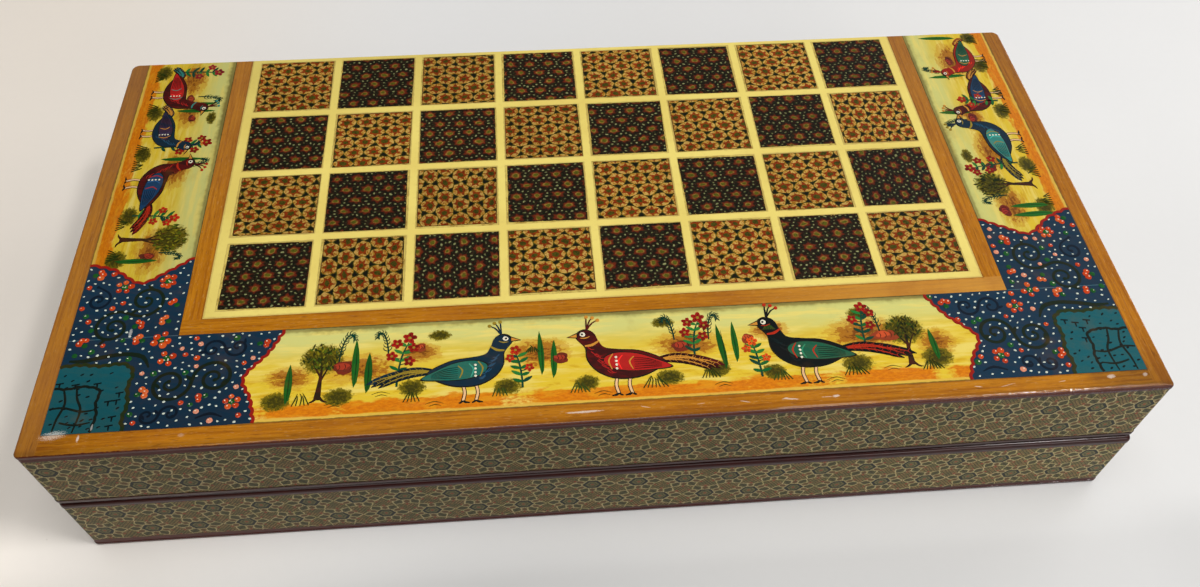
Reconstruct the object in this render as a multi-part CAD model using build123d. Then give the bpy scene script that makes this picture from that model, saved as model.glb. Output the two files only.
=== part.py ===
from build123d import *
import os
from math import sin, cos, radians

# Folding chess box: two shallow trays hinged along the long back edge.
# Frame: +X to the right, +Y to the hinge side, +Z up; the origin is the
# bottom centre of the closed box. Millimetres.

# ---------------------------------------------------------------- dimensions
LENGTH = 300.0          # box length, along X
DEPTH = 150.0           # box depth, along Y (opened flat: 300 x 300)
HEIGHT = 52.4           # closed height
PARTING = HEIGHT / 2    # hinge axis height and plane between the trays
RIM_GAP = 0.1           # each rim stops this far from the parting plane
CORNER_R = 2.4          # plan radius of the back corners
FRONT_TIGHTER = 0.9     # the front corners are rounded this much less
OUT_OF_SQUARE = 0.9    # the base front is set this far out at its right end

T_DECOR = 1.2           # laths, painted panels, field and squares
T_PANEL = 2.1           # board that closes each tray
WALL_T = 7.0            # tray walls
EDGE_R = 0.6            # rounding of the outer face's edge

BAND_T = 0.7            # mosaic veneer on the walls
BAND_RECESS = 0.15      # veneer lies this far behind the painted edges
BEAD_BASE = 2.2         # height of the painted rim of the base walls
BEAD_LID = 1.9          # height of the painted rim of the lid walls
BEAD_R_BASE = 1.4       # rounding of the rim's outer edge
BEAD_R_LID = 1.0

BORDER_SIDE = 5.5       # outer border laths, left and right
BORDER_FRONT = 5.85     # outer border lath, front
PAINT_W = 29.2          # side painted panels
PAINT_BACK_Y = -39.9    # seam of the front painted panel with the side ones
STRIP_SIDE = 5.4        # inner strips, left and right
STRIP_FRONT = 5.1       # inner strip, front

PITCH = 27.0            # board pitch
SQUARE = 24.3           # inlaid square
GRID_BACK = 74.4        # last grid line, at the hinge side
FIT_GAP = 0.03          # round each inlaid square
LAY_SHIFT = 0.22        # hand laid: squares wander this much
LAY_TURN = 0.45         # and turn this much, degrees

FLOOR_T = 1.0           # playing floor inside each tray
POINT_T = 0.5           # inlaid points
POINT_L = 112.0         # length of a point
POINT_W = 20.8          # its width at the wall
POINT_TIP = 1.0         # its width at the tip
POINT_SET = 1.2         # the points start this far from the side wall
POINTS = 6              # on each side of each tray

HINGE_X = 95.0          # hinge centres, left and right of the middle
HINGE_Y = 75.25         # hinge axis, just behind the backs
HINGE_L = 24.0          # leaf and barrel length
KNUCKLE = 4.0           # half length of the middle knuckle
KNUCKLE_GAP = 0.1       # between knuckles
BARREL_R = 1.5
NOTCH_R = 1.8           # clearance for the barrel in both back walls
LEAF_T = 0.7
LEAF_IN = 69.2          # inner edge of the leaves
LEAF_SPLIT = 0.05       # leaves stop this far from the parting plane
PIN_R = 0.60
BORE_BASE_R = 0.62      # pin is held here
BORE_LID_R = 0.66       # and turns here
PIN_HEAD_R = 1.0
PIN_HEAD_T = 0.45
SCREW_DX = 7.6          # screws either side of the hinge centre
SCREW_Y = 71.4
SCREW_R = 0.75
SCREW_L = 5.4
SCREW_HEAD_R = 1.5
SCREW_HEAD_T = 0.7
PILOT_R = 0.78

HX, HY = LENGTH / 2, DEPTH / 2
T_OUT = T_DECOR + T_PANEL
RIM = PARTING - RIM_GAP
BORDER_X = HX - BORDER_SIDE
STRIP_X = BORDER_X - PAINT_W
FIELD_X = STRIP_X - STRIP_SIDE
FIELD_Y = PAINT_BACK_Y + STRIP_FRONT
BIG = 400.0

os.makedirs("parts", exist_ok=True)


# ------------------------------------------------------------------- helpers
def front(x, skew, inset=0.0):
    """Front line of a tray, in plan."""
    return -HY - skew * (x + HX) / LENGTH + inset


def prism(points, z0, z1):
    face = Face(Wire.make_polygon([Vector(x, y, z0) for x, y in points], close=True))
    return Solid.extrude(face, Vector(0, 0, z1 - z0)) if face.normal_at().Z > 0 else \
        Solid.extrude(-face, Vector(0, 0, z1 - z0))


def outline(skew, inset, radius, z0, z1):
    """Prism of the tray's plan, moved in by inset, with rounded corners."""
    x = HX - inset
    pts = [(-x, front(-x, skew, inset)), (x, front(x, skew, inset)), (x, HY - inset), (-x, HY - inset)]
    body = prism(pts, z0, z1)
    if radius > 0:
        body = fillet([e for e in body.edges().filter_by(Axis.Z) if e.center().Y > 0], radius)
        body = fillet([e for e in body.edges().filter_by(Axis.Z) if e.center().Y < 0], radius - FRONT_TIGHTER)
    return body.solid() if hasattr(body, "solid") else body


def region(points, z0=-5.0, z1=60.0):
    return prism(points, z0, z1)


def box(x0, x1, y0, y1, z0, z1):
    return prism([(x0, y0), (x1, y0), (x1, y1), (x0, y1)], z0, z1)


def cyl_x(x0, x1, y, z, r):
    return Pos((x0 + x1) / 2, y, z) * Rot(0, 90, 0) * Cylinder(r, x1 - x0)


def cyl_z(x, y, z0, z1, r):
    return Pos(x, y, (z0 + z1) / 2) * Cylinder(r, z1 - z0)


def cone_z(x, y, z0, z1, r0, r1):
    return Pos(x, y, (z0 + z1) / 2) * Cone(r0, r1, z1 - z0)


def solids_of(shape):
    if isinstance(shape, (list, tuple, ShapeList)):
        out = []
        for s in shape:
            out += solids_of(s)
        return out
    return list(shape.solids())


def write(name, shape, lid=False):
    """Write one node; lid pieces are built rim up and turned over here."""
    out = solids_of(shape)
    if lid:
        out = [s.mirror(Plane.XY.offset(PARTING)) for s in out]
        out = solids_of(out)
    obj = out[0] if len(out) == 1 else Compound(children=out)
    obj.label = name
    export_step(obj, f"parts/{name}.step")
    print(name, len(out), round(sum(s.volume for s in out), 2))


# --------------------------------------------------------------- board plan
def lay(col, row, side):
    """Small placing error of one inlaid square: shift x, shift y, turn."""
    a = sin(12.9898 * (col + 1) + 78.233 * (row + 1) + 37.7 * side)
    b = sin(39.425 * (col + 1) + 11.135 * (row + 1) + 91.3 * side)
    c = sin(73.156 * (col + 1) + 52.235 * (row + 1) + 17.1 * side)
    return LAY_SHIFT * a, LAY_SHIFT * b, LAY_TURN * c


def square_points(col, row, side, grow=0.0):
    dx, dy, turn = lay(col, row, side)
    cx = -4 * PITCH + PITCH * (col + 0.5) + dx
    cy = GRID_BACK - PITCH * (row + 0.5) + dy
    h = SQUARE / 2 + grow
    t = radians(turn)
    return [(cx + u * h * cos(t) - v * h * sin(t), cy + u * h * sin(t) + v * h * cos(t))
            for u, v in ((-1, -1), (1, -1), (1, 1), (-1, 1))]


def point_shape(side, k):
    """One inlaid point, from the side wall (side -1 left, +1 right)."""
    pitch = (DEPTH - 2 * WALL_T) / POINTS
    yc = -HY + WALL_T + pitch * (k + 0.5)
    x0 = side * (HX - WALL_T - POINT_SET)
    x1 = x0 - side * POINT_L
    return [(x0, yc - POINT_W / 2), (x0, yc + POINT_W / 2), (x1, yc + POINT_TIP / 2), (x1, yc - POINT_TIP / 2)]


# -------------------------------------------------------------------- a tray
def tray(prefix, skew, bead, bead_r, lid):
    side = 1 if lid else 0

    def put(name, shape):
        write(f"{prefix}_{name}", shape, lid)

    # outer layer: one rounded slab, cut into laths, panels, strips and field
    slab = outline(skew, 0.0, CORNER_R, 0.0, T_DECOR)
    low = [e for e in slab.edges() if abs(e.center().Z) < 1e-6]
    slab = fillet(low, EDGE_R)

    def cut(points):
        return slab & region(points)

    yb = HY + 5
    put("border_left", cut([(-HX - 5, -BIG), (-BORDER_X, -BIG), (-BORDER_X, yb), (-HX - 5, yb)]))
    put("border_right", cut([(BORDER_X, -BIG), (HX + 5, -BIG), (HX + 5, yb), (BORDER_X, yb)]))
    fl, fr = front(-BORDER_X, skew, BORDER_FRONT), front(BORDER_X, skew, BORDER_FRONT)
    put("border_front", cut([(-BORDER_X, -BIG), (BORDER_X, -BIG), (BORDER_X, fr), (-BORDER_X, fl)]))
    put("painted_front", cut([(-BORDER_X, fl), (BORDER_X, fr), (BORDER_X, PAINT_BACK_Y), (-BORDER_X, PAINT_BACK_Y)]))
    put("painted_left", cut([(-BORDER_X, PAINT_BACK_Y), (-STRIP_X, PAINT_BACK_Y), (-STRIP_X, yb), (-BORDER_X, yb)]))
    put("painted_right", cut([(STRIP_X, PAINT_BACK_Y), (BORDER_X, PAINT_BACK_Y), (BORDER_X, yb), (STRIP_X, yb)]))
    put("strip_front", cut([(-STRIP_X, PAINT_BACK_Y), (STRIP_X, PAINT_BACK_Y), (STRIP_X, FIELD_Y), (-STRIP_X, FIELD_Y)]))
    put("strip_left", cut([(-STRIP_X, FIELD_Y), (-FIELD_X, FIELD_Y), (-FIELD_X, yb), (-STRIP_X, yb)]))
    put("strip_right", cut([(FIELD_X, FIELD_Y), (STRIP_X, FIELD_Y), (STRIP_X, yb), (FIELD_X, yb)]))

    field = cut([(-FIELD_X, FIELD_Y), (FIELD_X, FIELD_Y), (FIELD_X, yb), (-FIELD_X, yb)])
    light, dark, pockets = [], [], []
    for col in range(8):
        for row in range(4):
            tile = prism(square_points(col, row, side), 0.0, T_DECOR)
            pockets.append(prism(square_points(col, row, side, FIT_GAP), -1.0, T_DECOR + 1))
            is_light = (col + row) % 2 == (0 if lid else 1)
            (light if is_light else dark).append(tile)
    put("chess_field", field - pockets)
    put("light_squares", light)
    put("dark_squares", dark)

    # the board that closes the tray; the veneers cover its edge
    put("panel", outline(skew, BAND_RECESS + BAND_T, CORNER_R - BAND_RECESS - BAND_T, T_DECOR, T_OUT))

    # walls: one ring, rebated for the veneer, rim edge rounded, then parted
    ring = outline(skew, 0.0, CORNER_R, T_OUT, RIM)
    top = [e for e in ring.edges() if abs(e.center().Z - RIM) < 1e-6]
    ring = fillet(top, bead_r)
    cavity = outline(skew, WALL_T, 0.0, T_OUT - 1, RIM + 1)
    band_top = RIM - bead
    rebate = outline(skew, -5.0, 0.0, T_OUT, band_top) - outline(skew, BAND_RECESS + BAND_T, CORNER_R - BAND_RECESS - BAND_T, T_OUT - 1, band_top + 1)
    ring = ring - cavity - rebate
    ci = HX - WALL_T
    cfl, cfr = front(-ci, skew, WALL_T), front(ci, skew, WALL_T)
    wl, wr = front(-BIG, skew, WALL_T), front(BIG, skew, WALL_T)
    put("wall_front", ring & region([(-BIG, -BIG), (BIG, -BIG), (BIG, wr), (-BIG, wl)]))
    yi = HY - WALL_T
    back = ring & region([(-BIG, yi), (BIG, yi), (BIG, BIG), (-BIG, BIG)])
    for cx in (-HINGE_X, HINGE_X):
        back = back - box(cx - HINGE_L / 2 - 0.05, cx + HINGE_L / 2 + 0.05, LEAF_IN - 0.05, HY + 5,
                          PARTING - LEAF_SPLIT - LEAF_T, PARTING + 5)
        back = back - cyl_x(cx - HINGE_L / 2 - 0.9, cx + HINGE_L / 2 + 0.9, HINGE_Y, PARTING, NOTCH_R)
        for dx in (-SCREW_DX, SCREW_DX):
            back = back - cyl_z(cx + dx, SCREW_Y, PARTING - 1 - SCREW_L, PARTING, PILOT_R)
    put("wall_back", back)
    put("wall_left", ring & region([(-BIG, wl), (-ci, cfl), (-ci, yi), (-BIG, yi)]))
    put("wall_right", ring & region([(ci, cfr), (BIG, wr), (BIG, yi), (ci, yi)]))

    # mosaic veneers from the outer layer to the rim, mitred at the corners
    veneer = outline(skew, BAND_RECESS, CORNER_R - BAND_RECESS, T_DECOR, band_top) - \
        outline(skew, BAND_RECESS + BAND_T, CORNER_R - BAND_RECESS - BAND_T, T_DECOR - 1, band_top + 1)
    m = 40.0
    fl_, fr_ = (-HX, front(-HX, skew)), (HX, front(HX, skew))
    a, b = (fl_[0] - 5, fl_[1] - 5), (fl_[0] + m, fl_[1] + m)
    c, d = (fr_[0] + 5, fr_[1] - 5), (fr_[0] - m, fr_[1] + m)
    e, f = (HX + 5, HY + 5), (HX - m, HY - m)
    g, h = (-HX - 5, HY + 5), (-HX + m, HY - m)
    put("band_front", veneer & region([a, c, d, b]))
    put("band_right", veneer & region([c, e, f, d]))
    put("band_back", veneer & region([e, g, h, f]))
    put("band_left", veneer & region([g, a, b, h]))

    # inside: playing floor with inlaid points
    floor = outline(skew, WALL_T, 0.0, T_OUT, T_OUT + FLOOR_T)
    z_in = T_OUT + FLOOR_T
    pts_light, pts_dark, sockets = [], [], []
    for s in (-1, 1):
        for k in range(POINTS):
            shape = point_shape(s, k)
            sockets.append(prism(shape, z_in - POINT_T, z_in + 1))
            (pts_light if (k % 2 == 0) == (s < 0) else pts_dark).append(prism(shape, z_in - POINT_T, z_in))
    put("playing_floor", floor - sockets)
    put("light_points", pts_light)
    put("dark_points", pts_dark)


tray("base", OUT_OF_SQUARE, BEAD_BASE, BEAD_R_BASE, False)
tray("lid", 0.0, BEAD_LID, BEAD_R_LID, True)


# -------------------------------------------------------------------- hinges
def leaf(cx, top):
    """One hinge leaf: base leaf (two outer knuckles) or lid leaf (middle one)."""
    zs = PARTING + LEAF_SPLIT if top else PARTING - LEAF_SPLIT - LEAF_T
    y_clear = HINGE_Y - BARREL_R - 0.2
    half = HINGE_L / 2
    k = KNUCKLE - KNUCKLE_GAP / 2 if top else KNUCKLE + KNUCKLE_GAP / 2
    body = box(cx - half, cx + half, LEAF_IN, y_clear, zs, zs + LEAF_T)
    spans = [(-k, k)] if top else [(-half, -k), (k, half)]
    for x0, x1 in spans:
        body = body + box(cx + x0, cx + x1, y_clear - 0.5, HINGE_Y, zs, zs + LEAF_T)
        body = body + cyl_x(cx + x0, cx + x1, HINGE_Y, PARTING, BARREL_R)
    body = body - cyl_x(cx - half - 1, cx + half + 1, HINGE_Y, PARTING, BORE_LID_R if top else BORE_BASE_R)
    for dx in (-SCREW_DX, SCREW_DX):
        body = body - cyl_z(cx + dx, SCREW_Y, zs - 1, zs + LEAF_T + 1, SCREW_R + 0.1)
        if top:
            body = body - cone_z(cx + dx, SCREW_Y, zs, zs + LEAF_T, SCREW_HEAD_R + 0.1, SCREW_R + 0.1)
        else:
            body = body - cone_z(cx + dx, SCREW_Y, zs, zs + LEAF_T, SCREW_R + 0.1, SCREW_HEAD_R + 0.1)
    return body


def pin(cx):
    half = HINGE_L / 2
    body = cyl_x(cx - half - 0.2, cx + half + 0.2, HINGE_Y, PARTING, PIN_R)
    for s in (-1, 1):
        x0, x1 = sorted((cx + s * (half + 0.03), cx + s * (half + 0.03 + PIN_HEAD_T)))
        head = cyl_x(x0, x1, HINGE_Y, PARTING, PIN_HEAD_R)
        rim = [e for e in head.edges().filter_by(GeomType.CIRCLE) if abs(e.center().X - (x1 if s > 0 else x0)) < 1e-6]
        body = body + fillet(rim, 0.3)
    return body


def screw(x, top):
    """Countersunk slotted wood screw, point down from the base rim."""
    z = PARTING - LEAF_SPLIT - 0.02
    body = cone_z(x, SCREW_Y, z - SCREW_HEAD_T, z, SCREW_R, SCREW_HEAD_R)
    body = body + cyl_z(x, SCREW_Y, z - SCREW_L + 1.2, z - SCREW_HEAD_T + 0.05, SCREW_R)
    body = body + cone_z(x, SCREW_Y, z - SCREW_L, z - SCREW_L + 1.2, 0.15, SCREW_R)
    body = body - box(x - 2, x + 2, SCREW_Y - 0.2, SCREW_Y + 0.2, z - 0.3, z + 1)
    if top:
        return body.mirror(Plane.XY.offset(PARTING))
    return body


for name, cx in (("left", -HINGE_X), ("right", HINGE_X)):
    write(f"{name}_hinge_base_leaf", leaf(cx, False))
    write(f"{name}_hinge_lid_leaf", leaf(cx, True))
    write(f"{name}_hinge_pin", pin(cx))
xs = [cx + dx for cx in (-HINGE_X, HINGE_X) for dx in (-SCREW_DX, SCREW_DX)]
write("base_hinge_screws", [screw(x, False) for x in xs])
write("lid_hinge_screws", [screw(x, True) for x in xs])
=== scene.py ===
import bpy, bmesh, math, random
import numpy as np
from mathutils import Vector, Matrix
from mathutils.geometry import tessellate_polygon


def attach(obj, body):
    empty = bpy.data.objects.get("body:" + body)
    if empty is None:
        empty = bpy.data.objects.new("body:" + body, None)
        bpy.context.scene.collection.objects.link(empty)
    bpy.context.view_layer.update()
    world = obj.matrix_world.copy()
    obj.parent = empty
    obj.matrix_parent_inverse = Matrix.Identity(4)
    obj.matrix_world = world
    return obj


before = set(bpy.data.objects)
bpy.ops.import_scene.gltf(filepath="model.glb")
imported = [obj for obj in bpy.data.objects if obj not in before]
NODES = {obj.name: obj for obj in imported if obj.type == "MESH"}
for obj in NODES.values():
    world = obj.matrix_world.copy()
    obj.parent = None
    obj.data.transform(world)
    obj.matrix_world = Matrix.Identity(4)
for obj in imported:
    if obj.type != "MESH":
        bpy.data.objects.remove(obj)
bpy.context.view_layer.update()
MM = 0.001


# ----------------------------------------------------------------- colours
def lin(r, g, b):
    """sRGB 0..255 to linear RGBA."""
    def f(c):
        c = c / 255.0
        return c / 12.92 if c <= 0.04045 else ((c + 0.055) / 1.055) ** 2.4
    return (f(r), f(g), f(b), 1.0)


# ------------------------------------------------------- node expressions
class F:
    """A scalar in a node tree: a socket, with arithmetic that makes Math nodes."""

    def __init__(self, g, s):
        self.g, self.s = g, s

    def _o(self, op, *a):
        return self.g.math(op, self, *a)

    def __add__(self, o): return self._o("ADD", o)
    def __radd__(self, o): return self._o("ADD", o)
    def __sub__(self, o): return self._o("SUBTRACT", o)
    def __rsub__(self, o): return self.g.math("SUBTRACT", o, self)
    def __mul__(self, o): return self._o("MULTIPLY", o)
    def __rmul__(self, o): return self._o("MULTIPLY", o)
    def __truediv__(self, o): return self._o("DIVIDE", o)
    def __rtruediv__(self, o): return self.g.math("DIVIDE", o, self)
    def __neg__(self): return self._o("MULTIPLY", -1.0)
    def abs(self): return self._o("ABSOLUTE")
    def min(self, o): return self._o("MINIMUM", o)
    def max(self, o): return self._o("MAXIMUM", o)
    def round(self): return self._o("ROUND")
    def floor(self): return self._o("FLOOR")
    def fract(self): return self._o("FRACT")
    def sqrt(self): return self._o("SQRT")
    def lt(self, o): return self._o("LESS_THAN", o)
    def gt(self, o): return self._o("GREATER_THAN", o)
    def pow(self, o): return self._o("POWER", o)
    def sin(self): return self._o("SINE")
    def cos(self): return self._o("COSINE")

    def ramp(self, a, b, lo=0.0, hi=1.0, smooth=True):
        """Maps a..b to lo..hi, clamped."""
        return self.g.map_range(self, a, b, lo, hi, smooth)


class Graph:
    """A material with a Principled shader and short helpers."""

    def __init__(self, name):
        self.mat = bpy.data.materials.new(name)
        self.mat.use_nodes = True
        self.nt = self.mat.node_tree
        self.nt.nodes.clear()
        self.out = self.nt.nodes.new("ShaderNodeOutputMaterial")
        self.bsdf = self.nt.nodes.new("ShaderNodeBsdfPrincipled")
        self.nt.links.new(self.bsdf.outputs[0], self.out.inputs[0])
        tc = self.nt.nodes.new("ShaderNodeTexCoord")
        self.obj = tc.outputs["Object"]
        self.nrm = tc.outputs["Normal"]
        sp = self.nt.nodes.new("ShaderNodeSeparateXYZ")
        self.nt.links.new(self.obj, sp.inputs[0])
        # coordinates in millimetres
        self.x, self.y, self.z = (F(self, sp.outputs[i]) * 1000.0 for i in range(3))
        self._n = None

    def normal(self):
        if self._n is None:
            sp = self.nt.nodes.new("ShaderNodeSeparateXYZ")
            self.nt.links.new(self.nrm, sp.inputs[0])
            self._n = tuple(F(self, sp.outputs[i]) for i in range(3))
        return self._n

    def put(self, sock, v):
        if isinstance(v, F):
            self.nt.links.new(v.s, sock)
        elif isinstance(v, bpy.types.NodeSocket):
            self.nt.links.new(v, sock)
        else:
            sock.default_value = v

    def math(self, op, *a):
        n = self.nt.nodes.new("ShaderNodeMath")
        n.operation = op
        for i, v in enumerate(a):
            self.put(n.inputs[i], v)
        return F(self, n.outputs[0])

    def map_range(self, v, a, b, lo, hi, smooth):
        n = self.nt.nodes.new("ShaderNodeMapRange")
        n.interpolation_type = "SMOOTHSTEP" if smooth else "LINEAR"
        n.clamp = True
        for i, w in enumerate((v, a, b, lo, hi)):
            self.put(n.inputs[i], w)
        return F(self, n.outputs[0])

    def vec(self, x, y, z=0.0):
        n = self.nt.nodes.new("ShaderNodeCombineXYZ")
        for i, v in enumerate((x, y, z)):
            self.put(n.inputs[i], v)
        return n.outputs[0]

    def noise(self, vec, scale=1.0, detail=2.0, rough=0.5, distort=0.0, color=False):
        n = self.nt.nodes.new("ShaderNodeTexNoise")
        n.inputs["Scale"].default_value = scale
        n.inputs["Detail"].default_value = detail
        n.inputs["Roughness"].default_value = rough
        n.inputs["Distortion"].default_value = distort
        self.nt.links.new(vec, n.inputs["Vector"])
        return n.outputs["Color"] if color else F(self, n.outputs["Fac"])

    def white(self, *v):
        """White noise 0..1 of up to three scalars."""
        v = list(v) + [0.0] * (3 - len(v))
        n = self.nt.nodes.new("ShaderNodeTexWhiteNoise")
        n.noise_dimensions = "3D"
        self.nt.links.new(self.vec(*v), n.inputs["Vector"])
        return F(self, n.outputs["Value"])

    def voronoi(self, vec, scale=1.0, feature="F1", rand=1.0, out="Distance"):
        n = self.nt.nodes.new("ShaderNodeTexVoronoi")
        n.feature = feature
        n.inputs["Scale"].default_value = scale
        n.inputs["Randomness"].default_value = rand
        self.nt.links.new(vec, n.inputs["Vector"])
        o = n.outputs[out]
        return F(self, o) if out == "Distance" else o

    def mix(self, fac, a, b, mode="MIX"):
        n = self.nt.nodes.new("ShaderNodeMix")
        n.data_type = "RGBA"
        n.blend_type = mode
        n.clamp_factor = True
        self.put(n.inputs[0], fac)
        self.put(n.inputs[6], a)
        self.put(n.inputs[7], b)
        return n.outputs[2]

    def scale_colour(self, c, f):
        """Colour times a scalar."""
        n = self.nt.nodes.new("ShaderNodeVectorMath")
        n.operation = "SCALE"
        self.put(n.inputs[0], c if not isinstance(c, tuple) else c[:3])
        self.put(n.inputs["Scale"], f)
        return n.outputs[0]

    def attr(self, name, out="Color"):
        n = self.nt.nodes.new("ShaderNodeAttribute")
        n.attribute_name = name
        n.attribute_type = "GEOMETRY"
        return n.outputs[out] if out == "Color" else F(self, n.outputs[out])

    def bump(self, height, dist, strength=1.0, prev=None):
        n = self.nt.nodes.new("ShaderNodeBump")
        n.inputs["Strength"].default_value = strength
        n.inputs["Distance"].default_value = dist
        self.put(n.inputs["Height"], height)
        if prev is not None:
            self.nt.links.new(prev, n.inputs["Normal"])
        return n.outputs[0]

    def finish(self, colour, rough=0.4, normal=None, coat=0.0, coat_rough=0.1, metallic=0.0, spec=0.5, coat_normal=None, sss=0.0, sss_r=(0.002, 0.001, 0.0004)):
        b = self.bsdf
        self.put(b.inputs["Base Color"], colour)
        self.put(b.inputs["Roughness"], rough)
        b.inputs["Metallic"].default_value = metallic
        b.inputs["Specular IOR Level"].default_value = spec
        b.inputs["Coat Weight"].default_value = coat
        b.inputs["Coat Roughness"].default_value = coat_rough
        if normal is not None:
            self.nt.links.new(normal, b.inputs["Normal"])
        if coat_normal is not None:
            self.nt.links.new(coat_normal, b.inputs["Coat Normal"])
        return self.mat


def flat(name, c, rough=0.3):
    g = Graph(name)
    return g.finish(c, rough)


# ------------------------------------------------------------------ measures
LENGTH, DEPTH, HEIGHT, PARTING = 300.0, 150.0, 52.4, 26.2
SKEW = 0.9                   # the base's front edge runs out of square by this much
PITCH, SQUARE, GRID_BACK = 27.0, 24.3, 74.4
S60, C60 = math.sin(math.radians(60)), math.cos(math.radians(60))


def lid_side(g):
    """1 on the lid, 0 on the base."""
    return g.z.gt(PARTING)


def depth_below_face(g):
    """Depth in mm below the outer board face of whichever half this is."""
    s = lid_side(g)
    return s * (HEIGHT - g.z) + (1.0 - s) * g.z


def front_distance(g):
    """Distance in mm inwards from the front edge; the base's front is skewed."""
    return g.y + 75.0 + (1.0 - lid_side(g)) * ((g.x + 150.0) * (SKEW / 300.0))


def outline_distance(g):
    """Distance in mm inwards from the box's outline."""
    return (150.0 - g.x.abs()).min(75.0 - g.y).min(front_distance(g))


def below(v, edge, soft):
    """1 where v is below edge, with a soft step."""
    return v.ramp(edge - soft, edge + soft, 1.0, 0.0)


def above(v, edge, soft):
    return v.ramp(edge - soft, edge + soft, 0.0, 1.0)


def hexfold(g, a, b, p, rows):
    """Nearest centre of a staggered lattice with pitch p along a and rows apart
    along b, folded into the 30-degree wedge of a hexagon. Gives u, v and a hash."""
    q = p * S60 / rows                       # makes the lattice regular
    b = b * q
    r = p * S60
    au = a - (a / p).round() * p
    av = b - (b / (2 * r)).round() * (2 * r)
    a2, b2 = a - p / 2, b - r
    bu = a2 - (a2 / p).round() * p
    bv = b2 - (b2 / (2 * r)).round() * (2 * r)
    pick = (au * au + av * av).lt(bu * bu + bv * bv)
    u = bu + pick * (au - bu)
    v = bv + pick * (av - bv)
    hsh = g.white(a - u, b - v, 3.7)
    su, sv = u, v
    u, v = u.abs(), v.abs()
    d = (u * S60 - v * C60).min(0.0) * 2.0
    u, v = u - d * S60, v + d * C60
    d = (u * C60 - v * S60).min(0.0) * 2.0
    u, v = u - d * C60, v + d * S60
    return u, v, hsh, su, sv


def slivers(g, a, b, size):
    """A random value for each small triangle of a triangular grid, and the
    distance to the nearest joint between them."""
    t0 = b / (size * S60)
    t1 = (a * S60 + b * C60) / (size * S60)
    t2 = (a * S60 - b * C60) / (size * S60)
    h = g.white(t0.floor(), t1.floor(), t2.floor())
    e = ((t0.fract() - 0.5).abs().max((t1.fract() - 0.5).abs())).max((t2.fract() - 0.5).abs())
    return h, e


# -------------------------------------------------------------------- woods
def fibres(g, axis, seed=0.0, coarse=1.0):
    """Fine fibre pattern along an axis: broad tone, fibre tone and pores."""
    al, ac = (g.x, g.y) if axis == "x" else (g.y, g.x)
    wob = (g.noise(g.vec(al * 0.02, ac * 0.1, g.z * 0.1 + seed), 1.0, 2.0) - 0.5) * 1.4
    v = ac + wob + g.z * 0.9
    broad = g.noise(g.vec(al * 0.012, v * (0.32 * coarse), seed + 1.5), 1.0, 3.0, 0.55)
    fib = g.noise(g.vec(al * 0.05, v * (1.35 * coarse), seed + 4.2), 1.0, 4.0, 0.62)
    pore = g.noise(g.vec(al * 0.24, v * (2.7 * coarse), seed + 9.1), 1.0, 2.0, 0.6)
    return broad, fib, pore


def wood(g, axis, light, mid, dark, seed=0.0, coarse=1.0):
    broad, fib, pore = fibres(g, axis, seed, coarse)
    c = g.mix(broad.ramp(0.32, 0.68), mid, light)
    c = g.mix(fib.ramp(0.42, 0.70) * 0.62, c, dark)
    c = g.mix(fib.ramp(0.48, 0.30) * 0.40, c, g.scale_colour(light, 1.18))
    c = g.mix(pore.ramp(0.56, 0.74) * 0.60, c, g.scale_colour(dark, 0.55))
    al, ac = (g.x, g.y) if axis == "x" else (g.y, g.x)
    fleck = g.noise(g.vec(al * 0.5, (ac + g.z) * 2.2, seed + 14.0), 1.0, 3.0, 0.6)
    c = g.mix(fleck.ramp(0.54, 0.74) * 0.30, c, lin(204, 160, 104))
    h = fib * 0.6 + pore * 0.4
    return c, h


AMBER = (lin(185, 119, 17), lin(169, 103, 6), lin(130, 68, 4))
MAROON, MAROON_DARK = lin(82, 20, 11), lin(44, 9, 5)

# knocks in the lacquer of the front lath: x, y, half length, half width, slant, strength
SCUFFS = [(-7.2, -71.7, 5.8, 0.42, 0.02, 0.9), (-10.8, -71.7, 2.0, 0.28, 0.0, 0.7), (8.5, -71.3, 1.7, 0.16, -0.26, 0.7), (23.2, -71.3, 1.5, 0.22, 0.1, 0.4),
          (34.6, -71.5, 1.9, 0.17, -0.24, 0.75), (47.0, -71.6, 2.9, 0.24, -0.10, 1.0), (45.4, -71.3, 1.2, 0.3, 0.2, 0.8), (56.4, -71.6, 2.0, 0.14, 0.0, 0.8),
          (58.8, -71.5, 1.3, 0.48, 0.1, 0.9), (97.2, -71.3, 1.4, 0.2, -0.15, 0.8), (105.0, -71.4, 3.2, 0.13, 0.22, 0.6), (120.2, -71.2, 1.5, 0.15, 0.12, 0.6),
          (133.8, -70.6, 1.5, 0.75, 0.1, 0.8), (143.2, -70.6, 0.9, 0.7, 0.2, 0.6), (-135.0, -70.6, 0.42, 1.3, 0.1, 0.9),
          (-109.4, -71.3, 1.1, 0.7, 0.0, 0.25)]


def scuff_mask(g, spots=SCUFFS):
    """Whitish knocks in the lacquer along the lid's front lath."""
    n = g.noise(g.vec(g.x * 1.3, g.y * 3.0, 0.0), 1.0, 5.0, 0.75) * 0.75 + g.noise(g.vec(g.x * 4.0, g.y * 5.0, 3.0), 1.0, 4.0, 0.7) * 0.25
    m = None
    for cx, cy, rx, ry, slant, k in spots:
        dx, dy = g.x - cx, g.y - cy
        dy = (dy - dx * slant) * (1 / ry)
        dx = dx * (1 / rx)
        e = 1.0 - (dx * dx + dy * dy)
        v = (e * 0.5 + n * 1.5 - 0.86).ramp(0.0, 0.30) * e.ramp(0.0, 0.35) * k
        m = v if m is None else m.max(v)
    return m * lid_side(g)


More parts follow.
